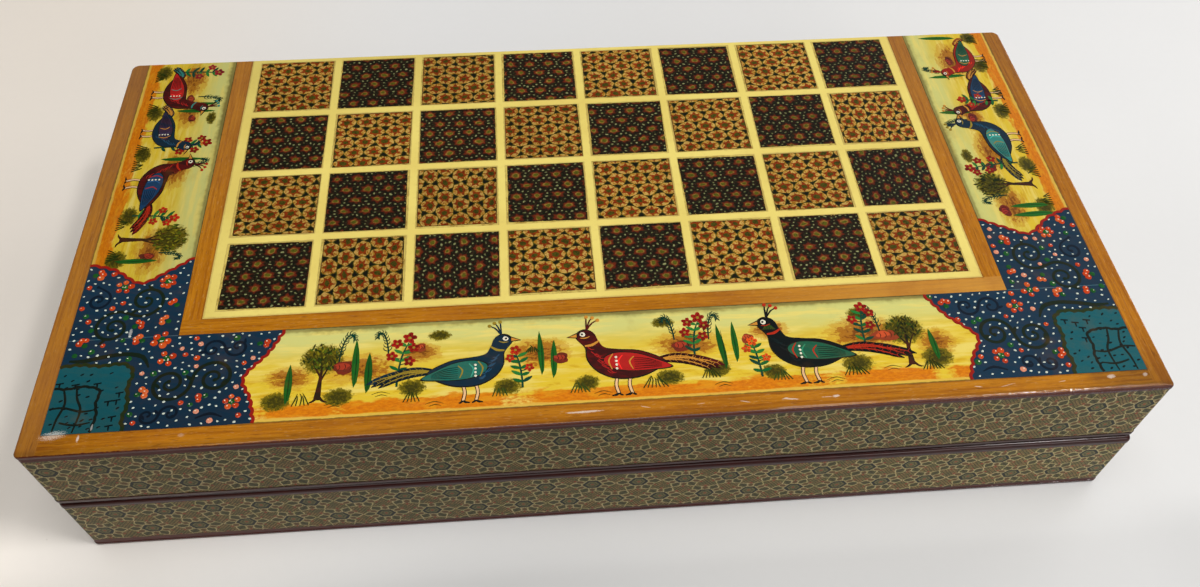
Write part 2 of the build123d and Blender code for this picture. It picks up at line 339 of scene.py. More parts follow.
def frayed_corner(g):
    """Rubbed, speckled patch over the lid's front left corner."""
    n = g.noise(g.vec(g.x * 2.6, g.y * 3.8, 2.0), 1.0, 6.0, 0.85)
    dx, dy = (g.x + 141.4) * (1 / 4.8), (g.y + 69.3 - (g.x + 141.4) * 0.12) * (1 / 1.9)
    e = 1.0 - (dx * dx + dy * dy)
    return (n * 1.7 + e * 0.42 - 1.08).ramp(0.0, 0.16) * e.ramp(-0.3, 0.3) * lid_side(g) * 0.75


def amber_lath(name, axis, seed=0.0, edge=True, scuffed=False, pale=0.0, dull=0.0, dry=(122, 90, 62)):
    """Amber wood under a thick gloss lacquer, its outer edge painted maroon."""
    g = Graph(name)
    c, h = wood(g, axis, *AMBER, seed=seed)
    if pale:                                              # paler towards the right end
        c = g.mix(g.x.ramp(10.0, 100.0) * pale * (0.75 + h * 0.5), c, lin(216, 160, 72))
    od, dep, fd = outline_distance(g), depth_below_face(g), front_distance(g)
    # worn, slightly darker lacquer towards the outer edge
    grime = g.noise(g.vec(g.x * 0.07, g.y * 0.07, g.z * 0.07 + seed), 1.0, 4.0, 0.6)
    c = g.mix(grime.ramp(0.45, 0.75) * 0.35, c, lin(150, 84, 22))
    # dirt in the joint with the painted panels
    jn = g.noise(g.vec(g.x * 0.5, g.y * 0.5, seed), 1.0, 3.0, 0.6)
    jd = (g.x.abs() - 144.5).max(g.y * -1.0 - 69.15) if edge else (g.x.abs() - 109.9).max(g.y * -1.0 - 34.8)
    c = g.mix(below(jd, jn * 0.9 - 0.15, 0.25) * 0.5, c, lin(104, 60, 20))
    if dull:                                              # rubbed, greyer lacquer
        c = g.mix(dull * (0.5 + grime), c, lin(128, 90, 56))
    if edge:                                              # darker towards the front edge: thicker brown lacquer, and painted shade of the rounded arris
        c = g.scale_colour(c, 1.0 - fd.ramp(2.8, 0.5) * 0.30)
    if edge and axis == "x":                              # darker towards both ends
        c = g.scale_colour(c, 1.0 - (g.x.abs() + (grime - 0.5) * 30.0).ramp(116.0, 146.0) * g.x.ramp(-40.0, 40.0, 0.24, 0.46))
    if axis == "y":                                       # drier lacquer towards the hinges; on the right lath the darker dry colour is painted shade against the window light's sheen
        c = g.mix(g.y.ramp(-30.0, 75.0) * 0.36, c, lin(*dry))
        if edge:
            c = g.scale_colour(c, 1.0 - (g.y + (grime - 0.5) * 14.0).ramp(-54.0, -74.0) * g.x.ramp(-40.0, 40.0, 0.16, 0.36))
    if edge:
        wv = g.noise(g.vec(g.x * 0.25, g.y * 0.25, 0.5), 1.0, 3.0)
        ragged = g.noise(g.vec(g.x * 1.4, g.y * 1.4, g.z * 1.4), 1.0, 2.0)
        lim = 0.42 + (wv - 0.5) * 0.75 + (ragged - 0.5) * 0.3
        m = above(dep, lim, 0.06) * below(od, 1.0, 0.3)
        # the paint laps over the front arris
        m = m.max(below(fd, g.x.ramp(-110.0, 20.0, 0.02, 0.38) + wv * 0.45 + (ragged - 0.5) * 0.4, 0.10) * 0.92)
        c = g.mix(m, c, g.mix(ragged, MAROON_DARK, MAROON))
    rough = 0.24 + grime * 0.2
    if scuffed:
        s = scuff_mask(g).max(frayed_corner(g) * 0.95)
        c = g.mix(s * 0.82, c, lin(222, 206, 190))
        rough = rough + s * 0.4
    wavy = g.noise(g.vec(g.x * 0.22, g.y * 0.22, g.z * 0.22), 1.0, 2.0)
    n1 = g.bump(h, 0.00005, 0.35)
    n2 = g.bump(wavy + h * 0.05, 0.0004, 0.22)
    if edge:
        # narrow worn bevel along the front arris, in broken stretches towards the right
        lump = g.noise(g.vec(g.x * 1.0, g.y * 1.2, g.z * 1.2), 1.0, 3.0, 0.6)
        runs = g.noise(g.vec(g.x * 1.15, g.y * 0.7, 5.0), 1.0, 3.0, 0.65)
        on = (runs + g.x.ramp(50.0, 100.0, -0.14, 0.02)).ramp(0.42, 0.58)
        r = (1.24 + (wv - 0.5) * 0.3 - fd).max(0.0)
        n2 = g.bump(r * (g.x.ramp(25.0, 60.0, -0.05, -0.24) - g.x.ramp(25.0, 60.0) * on * g.x.ramp(60.0, 120.0, 0.12, 0.16)) + lump * r * 0.05, 0.001, 1.0, n2)
    return g.finish(c, rough + 0.1, n1, coat=0.62 if edge else 0.45, coat_rough=0.08, coat_normal=n2, spec=0.08)


def wall_wood(name, axis, seed):
    """Tray walls: amber inside and on the rims, maroon lacquer on the outer lips, and painted shade along the parting.
    """
    g = Graph(name)
    c, h = wood(g, axis, *AMBER, seed=seed)
    od = outline_distance(g)
    n = g.noise(g.vec(g.x * 0.3, g.y * 0.3, g.z * 0.5 + seed), 1.0, 3.0)
    m = below(od, 1.35 + (n - 0.5) * 0.5, 0.12)
    # dark rim faces by the parting: painted shade of the gap between the halves, and dirt
    c = g.mix(below((g.z - PARTING).abs(), 0.5, 0.2) * below(od, 4.0, 1.2) * 0.85, c, lin(46, 24, 12))
    c = g.mix(g.noise(g.vec(g.x * 0.1, g.y * 0.1, g.z * 0.1), 1.0, 3.0).ramp(0.4, 0.8) * 0.4, c, lin(120, 66, 24))
    c = g.mix(m, c, g.mix(n, MAROON_DARK, MAROON))
    # the outer lips darker close to the parting: painted shade of the gap
    c = g.scale_colour(c, 1.0 - below((g.z - PARTING).abs(), 2.3, 0.3) * below(od, 1.6, 0.3) * 0.45)
    n1 = g.bump(h, 0.00005, 0.3)
    wavy = g.noise(g.vec(g.x * 0.3, g.y * 0.3, g.z * 0.3), 1.0, 2.0)
    n2 = g.bump(wavy, 0.0004, 0.2)
    return g.finish(c, 0.36, n1, coat=0.55, coat_rough=0.15, coat_normal=n2, spec=0.08)


def maroon_panel(name):
    """The thin board whose painted edge shows between lath and band."""
    g = Graph(name)
    c, h = wood(g, "x", *AMBER, seed=8.0)
    n = g.noise(g.vec(g.x * 0.4, g.y * 0.4, g.z * 0.8), 1.0, 3.0)
    m = below(outline_distance(g), 1.5, 0.2)
    c = g.mix(m, c, g.mix(n, MAROON_DARK, MAROON))
    n1 = g.bump(n, 0.0003, 0.25)
    return g.finish(c, 0.4, n1, coat=0.12, coat_rough=0.14, spec=0.08)


# ------------------------------------------------------------ inlaid squares
def tile_frame(g):
    """Row, column and local coordinates of the square that this point is in."""
    s = lid_side(g)
    fx = (g.x + 4 * PITCH) / PITCH
    fy = (GRID_BACK - g.y) / PITCH
    col, row = fx.floor(), fy.floor()
    lx = (fx.fract() - 0.5) * PITCH
    ly = (0.5 - fy.fract()) * PITCH
    return s, col, row, lx, ly


def tile_pattern_frame(g, p, rows):
    """Lattice coordinates, turned and shifted from square to square, and the
    small irregularity of hand-laid rods."""
    s, col, row, lx, ly = tile_frame(g)
    h1 = g.white(col + 0.5, row + 0.5, s * 3.0 + 1.0)
    h2 = g.white(col + 0.5, row + 0.5, s * 3.0 + 5.0)
    h3 = g.white(col + 0.5, row + 0.5, s * 3.0 + 9.0)
    turn = h1.gt(0.70)
    a = lx + turn * (ly - lx) + h2 * p
    b = ly + turn * (lx - ly) + h3 * (2 * rows)
    w = g.noise(g.vec(g.x * 0.33, g.y * 0.33, s), 1.0, 2.0, 0.5, color=True)
    sp = g.nt.nodes.new("ShaderNodeSeparateXYZ")
    g.nt.links.new(w, sp.inputs[0])
    a = a + (F(g, sp.outputs[0]) - 0.5) * 2.0
    b = b + (F(g, sp.outputs[1]) - 0.5) * 2.0
    edge = None
    for i, (on, along) in enumerate(((lx, ly), (lx * -1.0, ly), (ly, lx), (ly * -1.0, lx))):
        q1 = g.white(col + 0.5, row + 0.5, s * 3.0 + 13.0 + 2 * i)
        q2 = g.white(col + 0.5, row + 0.5, s * 3.0 + 14.0 + 2 * i)
        e = 0.5 * SQUARE - on - q1 * q1 * 0.50 + along * ((q2 - 0.5) * 0.040)
        edge = e if edge is None else edge.min(e)
    return a, b, edge, (h1, h2, h3), s


def rag(g, v, amount=0.10, scale=2.4):
    """Breaks an outline a little, as cut rods do."""
    return v + (g.noise(g.vec(g.x * scale, g.y * scale, 0.0), 1.0, 2.0) - 0.5) * (2 * amount)


def tile_wear(g, c, edge, s, dirt):
    """Ragged edges of a square: glue line, dirt and small chips of the cream."""
    n = g.noise(g.vec(g.x * 0.9, g.y * 0.9, s + 1.0), 1.0, 4.0, 0.65)
    n2 = g.noise(g.vec(g.x * 0.25, g.y * 0.25, s + 6.0), 1.0, 2.0)
    c = g.mix(below(edge, 0.10 + n * 0.34, 0.14) * 0.85, c, dirt)
    chip = below(edge, (n - 0.56) * 4.2, 0.10)
    c = g.mix(chip * 0.8, c, lin(176, 148, 72))
    # cream filler beyond the cut edge, dirty along the joint
    c = g.mix(below(edge, (n - 0.5) * 0.30 - 0.02, 0.06), c, g.mix((n2 * 0.6 + n * 0.6).ramp(0.5, 0.8), lin(212, 190, 100), lin(150, 118, 50)))
    return c


def light_tiles(name):
    g = Graph(name)
    a, b, edge, (h1, h2, h3), s = tile_pattern_frame(g, 6.2, 4.65)
    u, v, hs, _, _ = hexfold(g, a, b, 6.2, 4.65)
    hh, _e = slivers(g, a, b * (6.2 * S60 / 4.65), 0.62)
    aa = 0.07
    w = u * S60 + v * C60                    # towards the corner where three cells meet
    # pale bone wedges between the points of the stars
    c = g.mix(hh.ramp(0.25, 0.75), lin(234, 188, 98), lin(184, 126, 28))
    c = g.mix(above(hh, 0.86, 0.03) * 0.55, c, lin(138, 74, 14))
    # thin brown joints from each point to the corner, faint ones across the wedges
    c = g.mix(below(rag(g, (u * C60 - v * S60).abs(), 0.06), 0.15, aa) * 0.80, c, lin(104, 58, 10))
    c = g.mix(below(rag(g, (u - 2.30 + v * 0.3).abs(), 0.08), 0.07, aa) * 0.30, c, lin(140, 92, 34))
    # olive line half way between centres
    c = g.mix(above(rag(g, u, 0.07), 2.90, aa) * 0.85, c, g.mix(hh, lin(156, 130, 30), lin(100, 86, 14)))
    # three-cornered pieces where cells meet: olive points round a nearly black core
    pr = ((3.10 - u) * (3.10 - u) + (1.79 - v) * (1.79 - v)).sqrt()
    tri = rag(g, 3.58 - w, 0.09)
    c = g.mix(below(tri, 0.86, aa), c, g.mix(hh, lin(104, 98, 16), lin(52, 54, 8)))
    c = g.mix(below(rag(g, (tri * 1.0).max(pr * 0.62), 0.10), 0.62, aa), c, g.mix(hh, lin(34, 32, 12), lin(12, 13, 5)))
    # six-pointed star
    star = rag(g, (u - 1.36) * 0.866 - v * 0.5, 0.09)
    c = g.mix(below(star, 0.10, aa) * 0.55, c, lin(92, 44, 12))
    c = g.mix(below(star, 0.0, aa), c, g.mix(hh, lin(178, 64, 4), lin(112, 34, 2)))
    # olive heart with a thin gilt outline
    uu = rag(g, u, 0.08)
    c = g.mix(below(uu, 0.98, aa) * 0.55, c, lin(128, 92, 34))
    c = g.mix(below(uu, 0.88, aa), c, g.mix(hh, lin(96, 92, 18), lin(52, 52, 6)))
    # tone of single slivers, wear and colour drift, and a painted sheen towards the right
    c = g.scale_colour(c, 0.78 + hh * 0.26)
    drift = g.noise(g.vec(g.x * 0.05, g.y * 0.05, s), 1.0, 2.0)
    # the x ramp makes the squares brighter towards the right: painted sheen
    c = g.scale_colour(c, (0.62 + drift * 0.22 + (h2 - 0.5) * 0.14 + (hs - 0.5) * 0.10) * g.x.ramp(-60.0, 110.0, 0.96, 1.10))
    speck = g.noise(g.vec(g.x * 3.1, g.y * 3.1, 2.0), 1.0, 2.0)
    c = g.mix(speck.ramp(0.62, 0.74) * 0.6, c, lin(40, 24, 8))
    c = tile_wear(g, c, edge, s, lin(62, 42, 14))
    n1 = g.bump(hh, 0.00004, 0.3)
    wavy = g.noise(g.vec(g.x * 0.5, g.y * 0.5, 0.0), 1.0, 3.0)
    n2 = g.bump(wavy, 0.00025, 0.2)
    return g.finish(c, 0.42, n1, coat=0.38, coat_rough=0.1, coat_normal=n2, spec=0.08)


def dark_tiles(name):
    g = Graph(name)
    a, b, edge, (h1, h2, h3), s = tile_pattern_frame(g, 6.3, 4.5)
    u, v, hs, su, sv = hexfold(g, a, b, 6.3, 4.5)
    hh, _e = slivers(g, a, b * (6.3 * S60 / 4.5), 0.55)
    aa = 0.09
    # nearly black wedges, green and red by turns
    soft = g.noise(g.vec(g.x * 0.9, g.y * 0.9, 4.0), 1.0, 2.0)
    c = g.mix(soft.ramp(0.42, 0.60), lin(15, 18, 5), lin(34, 15, 6))
    c = g.mix(above(hh, 0.72, 0.04) * 0.6, c, lin(44, 38, 20))
    # star: strong red by the heart, lost in the dark towards the points
    rr = (u * u + v * v).sqrt()
    star = rag(g, (u - 1.30) * 0.866 - v * 0.5, 0.18, 1.6)
    sm = below(star, 0.08, 0.24) * below(rr, 1.95, 0.75)
    dusk = g.noise(g.vec(g.x * 0.8, g.y * 0.8, 9.0), 1.0, 2.0)
    c = g.mix(sm * (0.25 + hh * 0.25 + dusk * 0.6), c, g.mix(hh, lin(150, 50, 20), lin(96, 30, 12)))
    # heart: gilt ring round an olive green middle
    uu = rag(g, u * 0.5 + rr * 0.5, 0.12, 1.4)
    c = g.mix(below(uu, 1.08, aa) * 0.80, c, g.mix(dusk.ramp(0.3, 0.7), lin(104, 64, 22), lin(150, 122, 50)))
    c = g.mix(below(uu, 0.66, aa), c, g.mix(hh, lin(98, 100, 18), lin(64, 64, 10)))
    # greyish green triangles in pairs across the line between two cells
    q = g.white(g.x.round(), g.y.round(), 7.0)
    d1u, d1v = u - 3.15, v - 0.80
    dots = below(rag(g, (d1u * d1u + d1v * d1v).sqrt(), 0.06), 0.25 + q * 0.12, 0.08)
    c = g.mix(dots * (0.45 + q * 0.55), c, g.mix(hh, lin(168, 170, 116), lin(108, 116, 70)))
    # a little green between the dots
    d0 = g.noise(g.vec(g.x * 2.2, g.y * 2.2, 3.0), 1.0, 2.0)
    c = g.mix(d0.ramp(0.60, 0.70) * (1.0 - sm) * (1.0 - dots) * 0.5, c, lin(64, 66, 36))
    c = g.scale_colour(c, 0.76 + hh * 0.26 + (h2 - 0.5) * 0.22)
    c = tile_wear(g, c, edge, s, lin(34, 24, 10))
    n1 = g.bump(hh, 0.00004, 0.3)
    wavy = g.noise(g.vec(g.x * 0.5, g.y * 0.5, 0.0), 1.0, 3.0)
    n2 = g.bump(wavy, 0.00025, 0.2)
    return g.finish(c, 0.42, n1, coat=0.38, coat_rough=0.1, coat_normal=n2, spec=0.08)


def cream(name):
    """Cream resin sheet, mottled, with dirt in the joints round the squares."""
    g = Graph(name)
    s, col, row, lx, ly = tile_frame(g)
    m = g.noise(g.vec(g.x * 0.035, g.y * 0.035, s), 1.0, 3.0, 0.55)
    f = g.noise(g.vec(g.x * 0.5, g.y * 0.5, s), 1.0, 4.0, 0.6)
    c = g.mix(m.ramp(0.3, 0.7), lin(237, 217, 116), lin(228, 205, 104))
    c = g.mix(f.ramp(0.5, 0.75) * 0.25, c, lin(212, 184, 92))
    ing = (g.x.abs().lt(108.0)) * (g.y.gt(-33.6))
    gap = lx.abs().max(ly.abs()) - 0.5 * SQUARE
    gn = g.noise(g.vec(g.x * 0.6, g.y * 0.6, s), 1.0, 3.0)
    dirt = below(gap, gn * 0.62 - 0.08, 0.20) * ing
    c = g.mix(dirt * 0.55, c, lin(150, 112, 52))
    # grime at the sheet's outer joint
    out = (109.9 - g.x.abs()).min(g.y + 34.8)
    c = g.mix(below(out, 0.1 + gn * 0.6, 0.3) * 0.5, c, lin(170, 132, 62))
    sc = g.noise(g.vec(g.x * 0.9 + g.y * 0.5, g.y * 0.06, s), 1.0, 3.0, 0.7)
    c = g.mix(sc.ramp(0.64, 0.74) * 0.18, c, lin(190, 160, 90))
    # darker towards the hinges and the left end: painted shade
    c = g.scale_colour(c, 1.0 - g.y.ramp(30.0, 72.0) * g.x.ramp(-5.0, -60.0) * 0.12 - g.x.ramp(-92.0, -109.0) * 0.06)
    n1 = g.bump(g.noise(g.vec(g.x * 0.28, g.y * 0.28, s), 1.0, 3.0), 0.0004, 0.22)
    return g.finish(c, 0.34 + f * 0.1, n1, coat=0.6, coat_rough=0.12)


# ------------------------------------------------------------- mosaic bands
def band(name, axis, flip=1.0, phase=0.0):
    """Two staggered rows of small flowers in six-pointed frames, printed fine."""
    g = Graph(name)
    s = lid_side(g)
    al = (g.x if axis == "x" else g.y) * flip + phase + (1.0 - s) * 5.3
    top = s * 49.1 + (1.0 - s) * 23.9
    de = top - g.z                                        # below the band's top
    w = g.noise(g.vec(al * 0.22, de * 0.22, s), 1.0, 2.0, 0.5, color=True)
    sp = g.nt.nodes.new("ShaderNodeSeparateXYZ")
    g.nt.links.new(w, sp.inputs[0])
    a = al + (F(g, sp.outputs[0]) - 0.5) * 0.9
    b = de - 5.4 + (F(g, sp.outputs[1]) - 0.5) * 0.9
    u, v, hs, su, sv = hexfold(g, a, b, 13.2, 9.8)
    aa = 0.12
    nz = g.noise(g.vec(al * 1.5, de * 1.5, s * 4.0), 1.0, 2.0)
    jag = (nz - 0.5) * 0.9
    # hatched ground: fine crossed strokes, broken up by noise
    t1 = ((a * 0.80 + b * 0.60 + jag * 0.5) * 1.25).fract()
    t2 = ((a * 0.80 - b * 0.60 - jag * 0.5) * 1.25).fract()
    hatch = (t1 - 0.5).abs().max((t2 - 0.5).abs()).ramp(0.26, 0.42)
    patch = g.noise(g.vec(al * 0.5, de * 0.5, s + 5.0), 1.0, 3.0)
    c = g.mix(patch.ramp(0.4, 0.6), lin(124, 100, 56), lin(92, 88, 46))
    c = g.mix(hatch * 0.8, c, lin(48, 38, 20))
    # radius measures: p30 runs along the 30-degree direction, q30 across it
    p30 = u * S60 + v * C60
    q30 = (u * C60 - v * S60).abs()
    # six long pointed petals that reach for the neighbours, with pale outlines
    t = ((u - 2.7) * (math.pi / 3.7)).max(0.0).min(math.pi).sin()
    leaf = v - t * 1.55 + jag * 0.7
    out = above(u, 2.7, 0.15) * below(u, 6.55, 0.15)
    c = g.mix(below(leaf, 0.0, aa) * out, c, g.mix(nz, lin(78, 74, 38), lin(46, 46, 22)))
    c = g.mix(below((v + jag * 0.4).abs(), 0.22, aa) * out * 0.7, c, lin(40, 32, 16))
    c = g.mix(below(leaf.abs(), 0.24, aa) * out * 0.95, c, g.mix(patch.ramp(0.4, 0.6), lin(168, 152, 108), lin(146, 136, 84)))
    # six short petals between them, reddish at the heart
    t3 = ((p30 - 2.6) * (math.pi / 2.7)).max(0.0).min(math.pi).sin()
    leaf3 = q30 - t3 * 1.05 + jag * 0.5
    out3 = above(p30, 2.6, 0.15) * below(p30, 5.3, 0.15)
    c = g.mix(below(leaf3, -0.2, aa) * out3, c, g.mix(nz, lin(96, 58, 30), lin(74, 66, 34)))
    c = g.mix(below(leaf3.abs(), 0.20, aa) * out3 * 0.85, c, lin(146, 132, 90))
    c = g.mix(below(((p30 - 5.5).abs() + q30) + jag, 0.55, aa) * 0.85, c, lin(126, 48, 28))
    # dark hexagon ring round a small flower
    ring = p30 + jag * 0.5
    c = g.mix(below(ring, 2.76, aa), c, lin(156, 142, 98))
    c = g.mix(below(ring, 2.52, aa), c, g.mix(nz, lin(16, 20, 18), lin(28, 32, 24)))
    c = g.mix(below(ring, 1.72, aa), c, g.mix(nz, lin(112, 104, 60), lin(66, 66, 38)))
    fl = rag(g, (su * su + sv * sv).sqrt() - (u * C60 - v * S60).abs() * 0.55, 0.12, 1.6)
    c = g.mix(below((fl - 0.95).abs(), 0.18, aa) * 0.75, c, lin(40, 40, 22))
    c = g.mix(below(fl, 0.42, aa), c, lin(120, 62, 34))
    # uneven fading of the print; the x ramp makes the band brighter towards the right end as painted light, and the
    # base's band is a little brighter
    fade = g.noise(g.vec(al * 0.035, de * 0.08, s + 2.0), 1.0, 2.0)
    c = g.scale_colour(c, (0.92 + fade * 0.34) * (g.x.ramp(-60.0, 145.0, 0.87, 1.22) * (1.0 + (1.0 - s) * 0.10)))
    grain = g.noise(g.vec(al * 4.0, de * 4.0, s + 1.0), 1.0, 2.0)
    c = g.scale_colour(c, 0.66 + grain * 0.72)
    # darker along the band's edge under the lip and along its edge at the parting; the maroon paint laps over the outer
    # edge, lighter and greyer on the base
    dep = depth_below_face(g)
    wob = g.noise(g.vec(al * 0.30, de * 0.4, s + 3.0), 1.0, 3.0)
    lip = s * g.x.ramp(-70.0, 60.0, 2.80, 1.25) + (1.0 - s) * g.x.ramp(-130.0, -50.0, 3.3, 2.4) + (wob - 0.5) * 0.5
    rim = (dep - lip).min(s * (20.9 - de) + (1.0 - s) * de)
    c = g.mix(below(rim, 0.35, 0.35) * 0.6, c, lin(60, 40, 28))
    edge_paint = g.scale_colour(g.mix(wob, MAROON_DARK, MAROON), 1.0 + (1.0 - s) * 0.3)
    c = g.mix(below(dep, lip, 0.08), c, g.mix((1.0 - s) * 0.22, edge_paint, lin(104, 92, 88)))
    n1 = g.bump(grain, 0.00004, 0.3)
    n2 = g.bump(g.noise(g.vec(al * 0.2, de * 0.2, s), 1.0, 2.0), 0.0004, 0.2)
    return g.finish(c, 0.5, n1, coat=0.15, coat_rough=0.2, coat_normal=n2, spec=0.12)


# ------------------------------------------------------- inside and fittings
def playing_floor(name):
    g = Graph(name)
    c, h = wood(g, "y", lin(220, 172, 104), lin(204, 152, 84), lin(164, 108, 52), seed=21.0, coarse=0.8)
    dust = g.noise(g.vec(g.x * 0.08, g.y * 0.08, g.z), 1.0, 4.0)
    c = g.mix(dust.ramp(0.45, 0.8) * 0.3, c, lin(150, 104, 56))
    return g.finish(c, 0.36, g.bump(h, 0.00005, 0.35), coat=0.5, coat_rough=0.15)


def point_wood(name, cols, seed):
    g = Graph(name)
    c, h = wood(g, "y", *cols, seed=seed, coarse=1.1)
    return g.finish(c, 0.36, g.bump(h, 0.00005, 0.35), coat=0.5, coat_rough=0.15)


def brass(name, tone=1.0):
    g = Graph(name)
    n = g.noise(g.vec(g.x * 0.8, g.y * 0.8, g.z * 0.8), 1.0, 4.0, 0.6)
    br = g.noise(g.vec(g.x * 0.6, g.y * 9.0, g.z * 9.0), 1.0, 2.0)
    c = g.mix(n.ramp(0.35, 0.7), lin(214, 172, 92), lin(158, 116, 54))
    c = g.scale_colour(c, tone)
    return g.finish(c, 0.24 + n * 0.22, g.bump(br, 0.00004, 0.4), metallic=1.0)


def local_frame(g, which):
    """s along a painted panel and t up from its outer edge, in mm."""
    if which == "front":
        s = lid_side(g)
        return g.x, g.y + 69.15 + (1.0 - s) * ((g.x + 150.0) * (SKEW / 300.0)) * below(g.y, -60.0, 10.0)
    if which == "left":
        return g.y * -1.0, g.x + 144.5
    return g.y, 144.5 - g.x


def patches(g, s, t, spots):
    """The highest of many soft round hills: 1 at a centre, 0 at its edge."""
    f = None
    for cs, ct, rs, rt in spots:
        ds, dt = (s - cs) * (1.0 / rs), (t - ct) * (1.0 / rt)
        v = 1.0 - (ds * ds + dt * dt)
        f = v if f is None else f.max(v)
    return f


BUSHES = {
    "front": [(-87, 6, 4.6, 3.4), (-71, 6.4, 4.6, 3.2), (-52, 8, 4.2, 3.0), (-27, 6.6, 4.2, 3.0), (-6, 6.4, 3.8, 2.8), (16, 6.6, 4.4, 2.8),
              (29, 8.5, 4.2, 3.2), (44, 6.5, 3.8, 2.8), (67, 7.5, 5.0, 3.4), (89, 8, 5.0, 4.0), (-76, 18.6, 6.6, 5.6), (82, 17.6, 6.6, 5.6),
              (-45, 24.4, 3.6, 2.0), (16, 24.6, 3.6, 2.0), (71, 24.0, 4.0, 2.4)],
    "left": [(-70, 6, 4.2, 3.0), (-50, 6.4, 4.2, 3.0), (-31, 6.2, 4.0, 2.8), (-5, 7, 4.4, 3.0), (12, 6.6, 4.2, 3.6), (4.5, 20.5, 6.2, 6.2), (-47, 24.6, 3.4, 1.8)],
    "right": [(-9, 7, 4.4, 3.4), (9, 6.4, 4.2, 3.0), (34, 6.4, 4.4, 3.0), (57, 6.6, 4.2, 3.2), (72, 6.4, 3.6, 3.0), (1, 20.2, 6.4, 6.0), (14, 24.2, 3.6, 2.0)],
}
HILLS = {
    "front": [(-66, 15, 11, 5), (-50, 19, 6, 3.5), (-18, 17, 9, 5), (22, 17, 10, 5), (45, 20, 6, 3.5), (71, 17, 12, 6), (-84, 13, 7, 4), (90, 13, 6, 5)],
    "left": [(-66, 16, 9, 5), (-50, 17, 8, 4), (-24, 17, 9, 5), (9, 16, 9, 5)],
    "right": [(-8, 17, 9, 5), (16, 16, 10, 5), (32, 17, 8, 4), (60, 16, 10, 5)],
}


def lacquer_grime(g, c):
    n = g.noise(g.vec(g.x * 0.09, g.y * 0.09, g.z * 0.2), 1.0, 4.0, 0.6)
    return g.mix(n.ramp(0.55, 0.8) * 0.22, c, lin(122, 84, 34))


